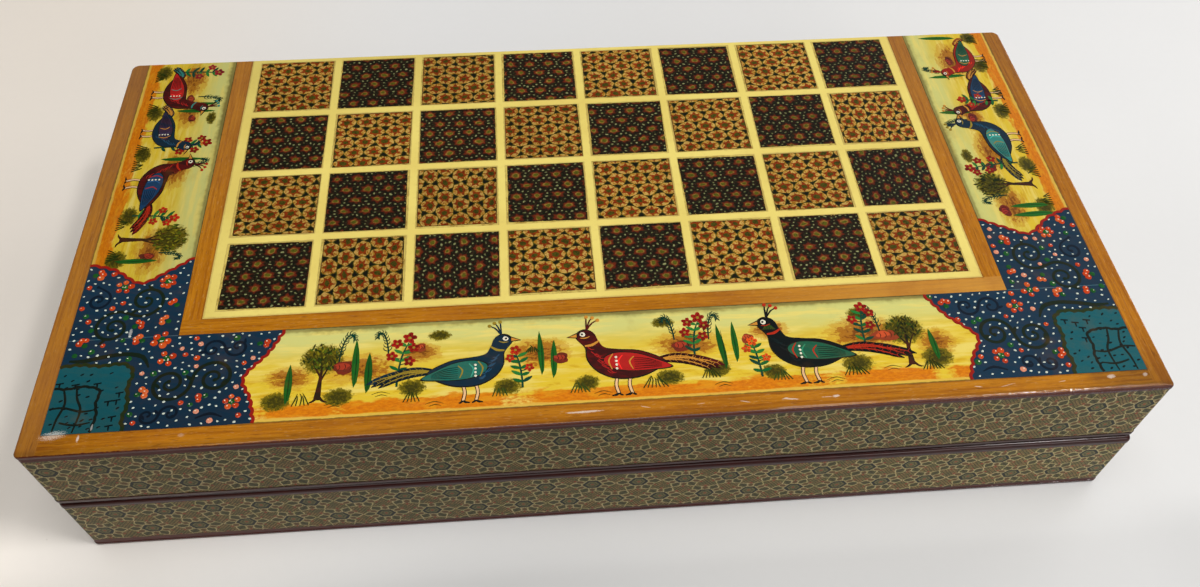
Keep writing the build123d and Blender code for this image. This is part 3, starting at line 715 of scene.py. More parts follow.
def wash(name, which):
    """The ground of a picture: pale sky, golden washes, sponged bushes and an
    orange line of earth, laid on cream; dark primer under the blue corners."""
    g = Graph(name)
    s, t = local_frame(g, which)
    sd = {"front": 0.0, "left": 50.0, "right": 90.0}[which]
    broad = g.noise(g.vec(s * 0.045 + sd, t * 0.16, 1.0), 1.0, 3.0, 0.55)
    streak = g.noise(g.vec(s * 0.14 + sd, t * 0.42, 4.0), 1.0, 4.0, 0.62)
    fine = g.noise(g.vec(s * 0.7 + sd, t * 1.6, 7.0), 1.0, 4.0, 0.65)
    tt = t + (broad - 0.5) * 9.0 + (streak - 0.5) * 3.0
    low, gold, pale, sky = lin(220, 188, 50), lin(196, 148, 20), lin(232, 206, 100), lin(206, 203, 120)
    c = g.mix(tt.ramp(13.0, 21.0), low, lin(214, 190, 74))
    c = g.mix(tt.ramp(18.5, 25.0), c, sky)
    wide = g.noise(g.vec(s * 0.055 + sd, t * 0.42, 24.0), 1.0, 3.0, 0.55)
    c = g.mix(streak.ramp(0.50, 0.62) * below(tt, 18.0, 4.0) * 0.65 * wide.ramp(0.60, 0.44), c, gold)
    c = g.mix(g.noise(g.vec(s * 0.08 + sd, t * 0.55, 21.0), 1.0, 3.0, 0.6).ramp(0.50, 0.70) * 0.45, c, pale)
    c = g.mix(wide.ramp(0.48, 0.66) * 0.75, c, lin(230, 210, 112))
    # ochre and rust washes over the hills
    dry = g.noise(g.vec(s * 0.5 + sd, t * 0.9, 31.0), 1.0, 5.0, 0.72)
    h = patches(g, s, t, HILLS[which]) + (fine - 0.5) * 1.1 + (streak - 0.5) * 0.9 + (dry - 0.5) * 1.7
    c = g.mix(h.ramp(0.02, 0.20) * 0.62, c, lin(198, 148, 40))
    c = g.mix(h.ramp(0.48, 0.66) * 0.78, c, lin(154, 84, 14))
    c = g.mix(h.ramp(0.90, 1.04) * 0.75, c, lin(98, 42, 10))
    # earth line, broken and uneven, with the pale ground showing below it
    lo = 0.7 + (broad - 0.5) * 2.6
    hi = 4.9 + (streak - 0.5) * 5.0 + (broad - 0.5) * 3.0
    e = above(t, lo, 0.35) * below(t, hi, 0.5) * above(g.noise(g.vec(s * 0.06 + sd, 2.0, 9.0), 1.0, 2.0) + (fine - 0.5) * 0.3, 0.36, 0.06)
    c = g.mix(e * 0.95, c, g.mix(fine.ramp(0.3, 0.7), lin(220, 126, 4), lin(194, 98, 2)))
    c = g.mix(e * streak.ramp(0.5, 0.66) * 0.5, c, lin(222, 158, 30))
    c = g.mix(below(t, 1.0 + (streak - 0.5) * 1.2, 0.2) * 0.8, c, lin(216, 176, 74))
    # sponged bushes: a soft shadow, then speckles in two olive tones
    f = patches(g, s, t, BUSHES[which])
    sp1 = g.noise(g.vec(s * 1.05 + sd, t * 1.05, 11.0), 1.0, 5.0, 0.72)
    sp2 = g.noise(g.vec(s * 1.25 + sd, t * 1.25, 15.0), 1.0, 5.0, 0.75)
    c = g.mix((f + (fine - 0.5) * 1.4).ramp(0.05, 0.75) * 0.55, c, lin(140, 120, 16))
    c = g.mix((f * 0.42 + sp1 - 0.58).ramp(0.0, 0.14), c, lin(104, 92, 10))
    c = g.mix((f * 0.36 + sp2 - 0.70).ramp(0.0, 0.14), c, lin(60, 56, 8))
    # darker bands along the inner edge, and a dark line in the joints with lath and strip
    n = g.noise(g.vec(g.x * 0.5, g.y * 0.5, 3.0), 1.0, 3.0)
    edge = t.min(29.2 - t)
    c = g.mix(above(t, 26.9 + (n - 0.5) * 2.6 + broad * 0.8, 0.9) * broad.ramp(0.38, 0.62, 0.12, 0.62), c, lin(110, 98, 44))
    c = g.mix(above(t, 28.0 + (n - 0.5) * 0.9, 0.4) * 0.55, c, lin(92, 76, 30))
    c = g.mix(below(edge, 0.02 + n * 0.45, 0.16) * 0.8, c, lin(64, 48, 18))
    c = g.scale_colour(c, {"front": 1.0, "left": 0.76, "right": 0.90}[which])
    # under the blue corners
    if which == "front":
        under = above(s, 104.0, 0.6).max(below(s, -98.2, 0.6))
    else:
        under = above(s, 23.0, 0.6) if which == "left" else below(s, -21.5, 0.6)
    c = g.mix(under, c, lin(30, 28, 24))
    c = lacquer_grime(g, c)
    wavy = g.noise(g.vec(g.x * 0.25, g.y * 0.25, 0.0), 1.0, 2.0)
    n1 = g.bump(fine, 0.00008, 0.25)
    n2 = g.bump(wavy, 0.0004, 0.18)
    return g.finish(c, 0.5, n1, coat=0.4, coat_rough=0.08, coat_normal=n2, spec=0.06)


def paint_material(name):
    """Brushed paint: the flake's own colour, streaked and slightly uneven."""
    g = Graph(name)
    c = g.attr("paint")
    sp = g.nt.nodes.new("ShaderNodeSeparateXYZ")
    g.nt.links.new(c, sp.inputs[0])
    deep = F(g, sp.outputs[0]).ramp(0.30, 0.08)           # 1 on the dark paints
    a = g.noise(g.vec(g.x * 0.45, g.y * 0.45, 2.0), 1.0, 4.0, 0.65)
    b = g.noise(g.vec(g.x * 0.16 + g.y * 0.5, g.y * 0.2, 5.0), 1.0, 3.0, 0.6)
    f = g.noise(g.vec(g.x * 2.6, g.y * 2.6, 8.0), 1.0, 3.0, 0.6)
    c = g.scale_colour(c, 0.66 + a * 0.34 + b * 0.28 + f * 0.16)
    # the dark paints are purer where they lie thick
    c = g.mix((b * 0.6 + a * 0.4).ramp(0.44, 0.56) * deep, c, (0.42, 0.93, 1.0, 1.0), "MULTIPLY")
    # the dark paints darker over the left front corner
    c = g.scale_colour(c, 1.0 - deep * g.x.ramp(-60.0, -105.0) * g.y.ramp(-24.0, -40.0) * (g.y.ramp(-45.0, -69.0) * 0.12 + 0.16))
    c = lacquer_grime(g, c)
    knocks = [(-132.2, -67.6, 0.35, 1.3, 0.1, 0.7), (-128.4, -38.2, 0.6, 1.9, 0.3, 0.8)]
    c = g.mix(scuff_mask(g, knocks) * 0.8, c, lin(186, 186, 182))
    c = g.mix(frayed_corner(g), c, lin(196, 196, 190))
    wavy = g.noise(g.vec(g.x * 0.25, g.y * 0.25, 0.0), 1.0, 2.0)
    n1 = g.bump(a + f * 0.4, 0.00012, 0.3)
    n2 = g.bump(wavy, 0.0004, 0.18)
    return g.finish(c, 0.5, n1, coat=0.4, coat_rough=0.08, coat_normal=n2, spec=0.06)


# ------------------------------------------------------------ painted motifs
# Colours of the paints, sRGB.
P_NAVY, P_BLACK, P_MAROON = (22, 40, 54), (14, 16, 16), (84, 16, 14)
P_CRIMSON, P_RED, P_ORANGE = (142, 24, 14), (172, 40, 16), (206, 76, 20)
P_GREEN, P_LEAF, P_DKGREEN = (24, 92, 40), (50, 116, 46), (16, 62, 44)
P_TEAL, P_TEAL_DK, P_SEA = (30, 86, 92), (14, 44, 46), (66, 128, 116)
P_OLIVE, P_OLIVE_DK, P_SCROLL = (104, 96, 16), (60, 56, 10), (28, 33, 19)
P_BLUE, P_WHITE, P_PINK = (28, 48, 67), (224, 218, 194), (206, 132, 104)
P_OCHRE, P_MUSTARD, P_BROWN = (196, 132, 48), (146, 122, 36), (66, 30, 14)
P_ROCK, P_FLESH, P_INK, P_INKBLUE = (118, 40, 24), (226, 182, 132), (30, 24, 16), (12, 24, 38)


def shade(c, k):
    return tuple(max(0, min(255, int(v * k))) for v in c)


def smooth(pts, closed=False, n=6):
    """Catmull-Rom curve through points (tuples of any length)."""
    out, m = [], len(pts)
    for i in range(m if closed else m - 1):
        if closed:
            p = [pts[(i + k - 1) % m] for k in range(4)]
        else:
            p = [pts[max(0, min(m - 1, i + k - 1))] for k in range(4)]
        for j in range(n):
            t = j / n
            a, b, c, d = -0.5 * t ** 3 + t * t - 0.5 * t, 1.5 * t ** 3 - 2.5 * t * t + 1, -1.5 * t ** 3 + 2 * t * t + 0.5 * t, 0.5 * t ** 3 - 0.5 * t * t
            out.append(tuple(a * u + b * v + c * w + d * z for u, v, w, z in zip(*p)))
    if not closed:
        out.append(tuple(pts[-1]))
    return out


class Paint:
    """Thin closed flakes of paint laid over each other on a panel. Points are in
    the panel's own mm: s along it, t up from its outer edge."""

    def __init__(self, place, seed):
        self.place, self.rnd = place, random.Random(seed)
        self.v, self.f, self.c, self.n = [], [], [], 0
        self.clip = None

    def height(self, layer):
        self.n += 1
        return 0.008 + layer * 0.014 + (self.n % 11) * 0.0011

    def flake(self, pts, colour, layer):
        h = self.height(layer)
        q = [self.place(s, t) for s, t in pts]
        ar = sum(q[i][0] * q[(i + 1) % len(q)][1] - q[(i + 1) % len(q)][0] * q[i][1] for i in range(len(q)))
        if ar < 0:
            q.reverse()
        b, n = len(self.v), len(q)
        self.v += [(x, y, h) for x, y in q] + [(x, y, -0.04) for x, y in q]
        self.f.append(tuple(range(b, b + n)))
        self.f.append(tuple(range(b + 2 * n - 1, b + n - 1, -1)))
        for i in range(n):
            j = (i + 1) % n
            self.f.append((b + i, b + n + i, b + n + j, b + j))
        self.c += [colour] * (2 * n)

    def stroke(self, pts, width, colour, layer, tip0=0.25, tip1=0.25, n=5):
        """A brush line through points; width may be a number or one per point."""
        w = list(width) if isinstance(width, (list, tuple)) else [width * (tip0 if i == 0 else tip1 if i == len(pts) - 1 else 1.0) for i in range(len(pts))]
        c = smooth([(p[0], p[1], k) for p, k in zip(pts, w)], False, n)
        h = self.height(layer)
        L, R = [], []
        for i, (s, t, k) in enumerate(c):
            a, b = c[max(0, i - 1)], c[min(len(c) - 1, i + 1)]
            dx, dy = b[0] - a[0], b[1] - a[1]
            d = math.hypot(dx, dy) or 1.0
            k = max(k, 0.05) * 0.5
            L.append((s - dy / d * k, t + dx / d * k))
            R.append((s + dy / d * k, t - dx / d * k))
        b = len(self.v)
        for p, r in zip(L, R):
            (x0, y0), (x1, y1) = self.place(*p), self.place(*r)
            self.v += [(x0, y0, h), (x1, y1, h), (x0, y0, -0.04), (x1, y1, -0.04)]
        m = len(c)
        for i in range(m - 1):
            o, q = b + 4 * i, b + 4 * (i + 1)
            self.f += [(o, o + 1, q + 1, q), (o + 2, q + 2, q + 3, o + 3), (o, q, q + 2, o + 2), (o + 1, o + 3, q + 3, q + 1)]
        q = b + 4 * (m - 1)
        self.f += [(b, b + 2, b + 3, b + 1), (q, q + 1, q + 3, q + 2)]
        self.c += [colour] * (4 * m)

    def dot(self, s, t, r, colour, layer, high=0.05, n=10, squash=1.0, turn=0.0):
        """A round drop of paint with a domed top."""
        h = self.height(layer)
        b = len(self.v)
        ca, sa = math.cos(turn), math.sin(turn)
        wob = [1.0 + self.rnd.uniform(-0.08, 0.08) for _ in range(n)]
        for rr, z in ((1.0, -0.04), (1.0, h), (0.62, h + high * 0.75)):
            for i in range(n):
                a = 2 * math.pi * i / n
                x, y = math.cos(a) * r * rr * wob[i], math.sin(a) * r * rr * squash * wob[i]
                self.v.append((*self.place(s + x * ca - y * sa, t + x * sa + y * ca), z))
        self.v.append((*self.place(s, t), h + high))
        for k in (0, n):
            for i in range(n):
                j = (i + 1) % n
                self.f.append((b + k + i, b + k + j, b + k + n + j, b + k + n + i))
        for i in range(n):
            self.f.append((b + 2 * n + i, b + 2 * n + (i + 1) % n, b + 3 * n))
        self.f.append(tuple(b + n - 1 - i for i in range(n)))
        self.c += [colour] * (3 * n + 1)

    # ---- small motifs
    def leaf(self, s, t, ang, length, width, colour, layer, bend=0.0, n=7):
        """A pointed leaf or blade from its foot."""
        ca, sa = math.cos(ang), math.sin(ang)
        L, R = [], []
        for i in range(n + 1):
            u = i / n
            w = width * 0.5 * math.sin(math.pi * min(1, u * 0.94 + 0.06)) ** 0.8
            c = bend * math.sin(math.pi * u / 2) ** 2 * length
            L.append((u * length, c + w)); R.append((u * length, c - w))
        pts = L + R[::-1][1:-1] if width > 0 else L
        self.flake([(s + a * ca - b * sa, t + a * sa + b * ca) for a, b in pts], colour, layer)

    def blob(self, s, t, rs, rt, colour, layer, n=14, rough=0.15, turn=0.0):
        ph = [self.rnd.uniform(0, 6.28) for _ in range(3)]
        pts = []
        for i in range(n):
            a = 2 * math.pi * i / n
            k = 1 + rough * (0.6 * math.sin(2 * a + ph[0]) + 0.5 * math.sin(3 * a + ph[1]) + 0.35 * math.sin(5 * a + ph[2]))
            x, y = rs * k * math.cos(a), rt * k * math.sin(a)
            pts.append((s + x * math.cos(turn) - y * math.sin(turn), t + x * math.sin(turn) + y * math.cos(turn)))
        self.flake(pts, colour, layer)

    def grass(self, s, t, size, colour, layer, n=6):
        for i in range(n):
            a = math.pi / 2 + (i - (n - 1) / 2) * 0.22 + self.rnd.uniform(-0.1, 0.1)
            l = size * self.rnd.uniform(0.7, 1.1)
            b = (1 if i > n / 2 else -1) * self.rnd.uniform(0.1, 0.35)
            x = s + (i - (n - 1) / 2) * size * 0.24
            self.stroke([(x, t), (x + math.cos(a) * l * 0.5, t + math.sin(a) * l * 0.55), (x + math.cos(a) * l + b * l * 0.6, t + math.sin(a) * l * 0.85)], 0.3, colour, layer, 0.8, 0.25, 4)

    def cypress(self, s, t, h, w, colour, layer):
        self.leaf(s, t, math.pi / 2 + self.rnd.uniform(-0.05, 0.05), h, w, colour, layer, self.rnd.uniform(-0.03, 0.03), 9)
        self.stroke([(s, t + 0.5), (s + 0.1, t + h * 0.5), (s, t + h * 0.85)], 0.22, shade(colour, 0.55), layer + 1)
        self.stroke([(s - w * 0.18, t + h * 0.2), (s - w * 0.2, t + h * 0.5)], 0.2, shade(colour, 1.5), layer + 1)

    def fern(self, s, t, h, lean, colour, layer):
        """A feathery plant whose tip curls over."""
        pts = [(s, t), (s + lean * 0.12, t + h * 0.38), (s + lean * 0.45, t + h * 0.74), (s + lean * 0.95, t + h * 0.95), (s + lean * 1.45, t + h * 0.93), (s + lean * 1.6, t + h * 0.78)]
        self.stroke(pts, 0.42, shade(colour, 0.8), layer, 1.0, 0.4)
        c = smooth(pts, False, 3)
        for i in range(2, len(c)):
            (x0, y0), (x1, y1) = c[i - 1], c[min(i + 1, len(c) - 1)]
            a, k = math.atan2(y1 - y0, x1 - x0), (1.0 - 0.55 * i / len(c)) * h / 8.0
            for sg in (-1, 1):
                b, l = a + sg * self.rnd.uniform(0.75, 1.1), 1.75 * k * self.rnd.uniform(0.75, 1.2)
                x, y = c[i]
                self.stroke([(x, y), (x + math.cos(b) * l * 0.6, y + math.sin(b) * l * 0.6), (x + math.cos(b - sg * 0.35) * l, y + math.sin(b - sg * 0.35) * l)], 0.27, shade(colour, self.rnd.uniform(0.6, 1.15)), layer, 0.9, 0.35, 2)

    def tree(self, s, t, h, layer, crown=P_OLIVE, bare=False):
        """Trunk with short roots and a few boughs; the crown is dabbed round it."""
        tr = P_BROWN
        self.stroke([(s - 0.4, t - 0.6), (s - 0.1, t + h * 0.25), (s + 0.2, t + h * 0.6)], [1.9, 1.15, 0.5], tr, layer)
        self.stroke([(s, t + 0.4), (s - 1.5, t - 0.9), (s - 2.6, t - 1.4)], [0.9, 0.6, 0.15], tr, layer)
        self.stroke([(s, t + 0.4), (s + 1.3, t - 1.0), (s + 2.5, t - 1.3)], [0.9, 0.6, 0.15], tr, layer)
        self.stroke([(s, t + h * 0.3), (s + 1.6, t + h * 0.52), (s + 2.6, t + h * 0.62)], [0.6, 0.4, 0.15], tr, layer)
        self.stroke([(s, t + h * 0.38), (s - 1.5, t + h * 0.55), (s - 2.4, t + h * 0.68)], [0.6, 0.4, 0.15], tr, layer)
        for i in range(90):
            a, q = self.rnd.uniform(0, 6.28), self.rnd.random() ** 0.6
            x, y = s + math.cos(a) * q * h * 0.30, t + h * 0.72 + math.sin(a) * q * h * 0.26
            c = self.rnd.choice((crown, shade(crown, 0.7), shade(crown, 0.5), shade(crown, 1.25)))
            self.leaf(x, y, self.rnd.uniform(0.6, 2.5), self.rnd.uniform(0.9, 1.7), 0.5, c, layer + 1 + i % 3, 0.0, 3)

    def blossom(self, s, t, r, colour, heart, layer, petals=5):
        a0 = self.rnd.uniform(0, 6.28)
        for i in range(petals):
            a = a0 + 2 * math.pi * i / petals
            self.blob(s + math.cos(a) * r * 0.62, t + math.sin(a) * r * 0.62, r * 0.5, r * 0.4, shade(colour, self.rnd.uniform(0.85, 1.15)), layer, 8, 0.08, a)
            self.stroke([(s + math.cos(a) * r * 0.35, t + math.sin(a) * r * 0.35), (s + math.cos(a) * r * 0.85, t + math.sin(a) * r * 0.85)], 0.14 * r, shade(colour, 0.55), layer + 1, 1, 0.3, 2)
        self.dot(s, t, r * 0.26, heart, layer + 2, 0.03, 8)

    def spray(self, s, t, h, lean, colour, layer, flowers=4, r=1.35):
        """A flowering stem with leaves."""
        pts = [(s, t), (s + lean * 0.1, t + h * 0.35), (s + lean * 0.45, t + h * 0.72), (s + lean, t + h)]
        self.stroke(pts, 0.5, P_DKGREEN, layer, 1.2, 0.4)
        c = smooth([(p[0], p[1]) for p in pts], False, 6)
        for i in range(3, len(c) - 2, 3):
            for sg in (-1, 1):
                self.leaf(c[i][0], c[i][1], math.pi / 2 - sg * self.rnd.uniform(0.7, 1.2), self.rnd.uniform(2.2, 3.4), 1.0, self.rnd.choice((P_GREEN, P_LEAF, P_DKGREEN)), layer + 1, sg * -0.12, 6)
        for i in range(flowers):
            u = 0.45 + 0.55 * i / max(1, flowers - 1)
            k = c[min(len(c) - 1, int(u * (len(c) - 1)))]
            sg = -1 if i % 2 else 1
            o = 0 if i == flowers - 1 else sg * (1.2 + 0.9 * r)
            if o:
                self.stroke([k, (k[0] + o * 0.6, k[1] + 0.4), (k[0] + o, k[1] + 1.0)], 0.3, P_DKGREEN, layer, 0.9, 0.5, 3)
            self.blossom(k[0] + o, k[1] + 1.0, r * (1.0 if i < flowers - 1 else 1.2), colour, P_MUSTARD, layer + 3)

    def rock(self, s, t, w, h, layer, colour=P_ROCK):
        self.blob(s, t, w, h, colour, layer, 16, 0.22)
        self.blob(s - w * 0.15, t + h * 0.2, w * 0.62, h * 0.5, shade(colour, 1.35), layer + 1, 12, 0.25)
        for i in range(3):
            x = s + (i - 1) * w * 0.45
            self.stroke([(x, t + h * 0.55), (x + 0.4, t), (x - 0.2, t - h * 0.5)], 0.2, shade(colour, 0.45), layer + 2, 0.6, 0.3, 3)

    def bird(self, s, t, k, face, body, wing, trim, layer, tail=16.0, crest=True, eyes=False, neck=0.0):
        """A long-tailed bird. face is 1 to the right, -1 to the left."""
        def m(x, y):
            return (s + face * x * k, t + y * k)

        def mm(pts):
            return [m(*p) for p in pts]

        nk = neck
        outline = [(11.2, 7.0 + nk), (10.8, 8.6 + nk), (9.2, 9.3 + nk), (7.4, 8.4 + nk), (6.6, 6.4 + nk * 0.7), (5.2, 4.7), (2.0, 4.0), (-2.0, 3.5), (-6.0, 1.7), (-7.6, 0.0), (-5.4, -1.9), (-1.4, -3.5), (3.4, -3.5), (7.2, -1.5), (9.2, 1.6), (9.4, 4.4 + nk * 0.5), (10.4, 5.8 + nk)]
        # tail plumes
        dk, lt = shade(body, 0.6), shade(trim, 1.0)
        for i, (b, l, w) in enumerate(((-0.20, 1.0, 2.6), (0.02, 0.92, 2.3), (0.20, 0.80, 2.0), (-0.38, 0.82, 2.0))):
            a0 = math.pi + b * 0.55
            n = 9
            spine = []
            for j in range(n + 1):
                u = j / n
                x = -5.5 - u * tail * l
                y = 0.6 + b * 5.5 * u - 3.2 * u * u * (1.0 if b > 0 else 0.4) + 1.5 * math.sin(u * 3.0) * 0.6
                spine.append((x, y))
            wd = [w * k * (0.45 + 0.9 * math.sin(math.pi * (0.15 + 0.8 * j / n))) * 0.62 for j in range(n + 1)]
            wd[-1] = 0.15 * k
            self.stroke(mm(spine), wd, body if i % 2 == 0 else dk, layer + i % 2, n=3)
            self.stroke(mm(spine[1:-1]), 0.24 * k, lt, layer + 3, 0.6, 0.4, n=3)
            for j in range(2, n, 1):
                x, y = spine[j]
                for sg in (-1, 1):
                    self.stroke(mm([(x, y), (x - 0.55, y + sg * 0.62)]), 0.16 * k, lt, layer + 3, 0.8, 0.3, n=1)
            if eyes:
                ex, ey = spine[-2]
                self.dot(*m(ex, ey), 0.95 * k, lt, layer + 4, 0.02, 10)
                self.dot(*m(ex, ey), 0.62 * k, P_TEAL, layer + 5, 0.03, 9)
                self.dot(*m(ex, ey), 0.3 * k, P_BLACK, layer + 6, 0.03, 7)
        # legs
        for x0 in (0.2, 3.0):
            leg = [(x0, -2.8), (x0 + 0.5, -5.0), (x0 + 0.1, -7.2)]
            self.stroke(mm(leg), 0.85 * k, P_INK, layer + 1, 1, 1)
            self.stroke(mm(leg), 0.5 * k, P_FLESH, layer + 2, 1, 1)
            for dx in (1.5, 0.9, -0.9):
                self.stroke(mm([(x0 + 0.1, -7.1), (x0 + 0.1 + dx * 0.6, -7.5), (x0 + 0.1 + dx, -7.6)]), 0.4 * k, P_INK, layer + 2, 1, 0.5, n=2)
        # body with a fine ink line round it
        sm = smooth(outline, True, 5)
        self.flake(mm(sm), P_INK, layer + 4)
        cx, cy = 2.0, 1.2
        inner = [(x + (cx - x) * 0.022 - (0.10 if x > cx else -0.10), y + (cy - y) * 0.03 - (0.10 if y > cy else -0.10)) for x, y in sm]
        self.flake(mm(inner), body, layer + 5)
        # breast and neck: fine strokes
        for i in range(15):
            u = i / 14
            x, y = 8.6 - 3.8 * u + self.rnd.uniform(-0.4, 0.4), 4.4 + nk * 0.4 - 6.0 * u + self.rnd.uniform(-0.4, 0.4)
            self.stroke(mm([(x, y), (x - 0.7, y - 0.7), (x - 1.4, y - 0.7)]), 0.2 * k, shade(body, 1.9) if sum(body) < 240 else shade(body, 0.55), layer + 6, 0.9, 0.3, 2)
        # wing: three tiers of feathers
        wing_o = smooth([(5.6, 2.2), (2.8, 3.3), (-1.5, 2.8), (-5.5, 1.0), (-9.0, -1.2), (-5.0, -1.8), (-0.5, -1.9), (3.4, -1.2), (5.6, 0.4)], True, 5)
        self.flake(mm(wing_o), P_INK, layer + 6)
        self.flake(mm([(x + (-0.6 - x) * 0.05, y + (0.4 - y) * 0.09) for x, y in wing_o]), wing, layer + 7)
        for r, (x0, y0, c) in enumerate(((3.8, 0.6, trim), (1.8, 0.4, shade(wing, 1.5)), (-0.6, 0.2, trim))):
            self.stroke(mm([(x0 - 0.2, y0 + 2.2 - r * 0.25), (x0 + 0.8, y0 + 0.4), (x0 + 0.2, y0 - 1.7 + r * 0.1)]), 0.34 * k, c, layer + 8, 0.6, 0.6, 4)
        for i in range(6):
            y0 = 1.7 - i * 0.62
            self.stroke(mm([(-0.8, y0 * 0.9), (-3.8, y0 * 0.72 - 0.15), (-6.6, y0 * 0.3 - 0.7)]), 0.22 * k, shade(wing, 0.45), layer + 8, 0.6, 0.3, 3)
        for i in range(4):
            self.dot(*m(3.0, 1.9 - i * 0.95), 0.3 * k, P_WHITE, layer + 9, 0.03, 7)
        # collar
        self.stroke(mm([(6.3, 6.2 + nk * 0.6), (7.8, 5.2 + nk * 0.6), (9.4, 5.0 + nk * 0.6)]), 0.62 * k, trim, layer + 7, 0.6, 0.6, 4)
        # head: beak, eye, cheek, crest
        self.flake(mm([(11.0, 8.4 + nk), (13.2, 7.3 + nk), (11.0, 7.0 + nk)]), P_INK, layer + 5)
        self.flake(mm([(11.0, 8.1 + nk), (12.8, 7.35 + nk), (11.0, 7.2 + nk)]), P_OCHRE, layer + 6)
        self.dot(*m(9.7, 7.9 + nk), 0.62 * k, P_WHITE, layer + 8, 0.02, 9)
        self.dot(*m(9.8, 7.9 + nk), 0.3 * k, P_BLACK, layer + 9, 0.03, 7)
        self.stroke(mm([(8.2, 7.3 + nk), (9.2, 6.9 + nk), (10.3, 7.0 + nk)]), 0.3 * k, trim, layer + 7, 0.4, 0.4, 3)
        if crest:
            for i, (dx, dy) in enumerate(((-2.6, 2.6), (-1.5, 3.3), (-0.2, 3.6))):
                self.stroke(mm([(8.8, 9.0 + nk), (8.8 + dx * 0.5, 9.0 + nk + dy * 0.7), (8.8 + dx, 9.0 + nk + dy)]), 0.34 * k, body, layer + 4, 1, 0.4, 3)
                self.dot(*m(8.8 + dx, 9.0 + nk + dy), 0.45 * k, trim, layer + 5, 0.03, 8)


# ------------------------------------------------------------- the pictures
def scallop(pts, lobes, depth, n=7):
    """A pointed curve broken into small lobes, for the edge between blue ground
    and picture."""
    c = smooth(pts, False, 12)
    L = [0.0]
    for a, b in zip(c, c[1:]):
        L.append(L[-1] + math.hypot(b[0] - a[0], b[1] - a[1]))
    out = []
    for i in range(lobes * n + 1):
        d = L[-1] * i / (lobes * n)
        j = max(k for k in range(len(L)) if L[k] <= d + 1e-9)
        j = min(j, len(c) - 2)
        u = (d - L[j]) / ((L[j + 1] - L[j]) or 1)
        x, y = c[j][0] + (c[j + 1][0] - c[j][0]) * u, c[j][1] + (c[j + 1][1] - c[j][1]) * u
        tx, ty = c[j + 1][0] - c[j][0], c[j + 1][1] - c[j][1]
        q = math.hypot(tx, ty) or 1
        o = depth * abs(math.sin(math.pi * i / n))
        out.append((x - ty / q * o, y + tx / q * o))
    return out


def spiral(cx, cy, r0, r1, turns, a0, sgn, n=26):
    out = []
    for i in range(n + 1):
        u = i / n
        r = r0 + (r1 - r0) * u ** 0.85
        a = a0 + sgn * turns * 2 * math.pi * u
        out.append((cx + r * math.cos(a), cy + r * math.sin(a)))
    return out


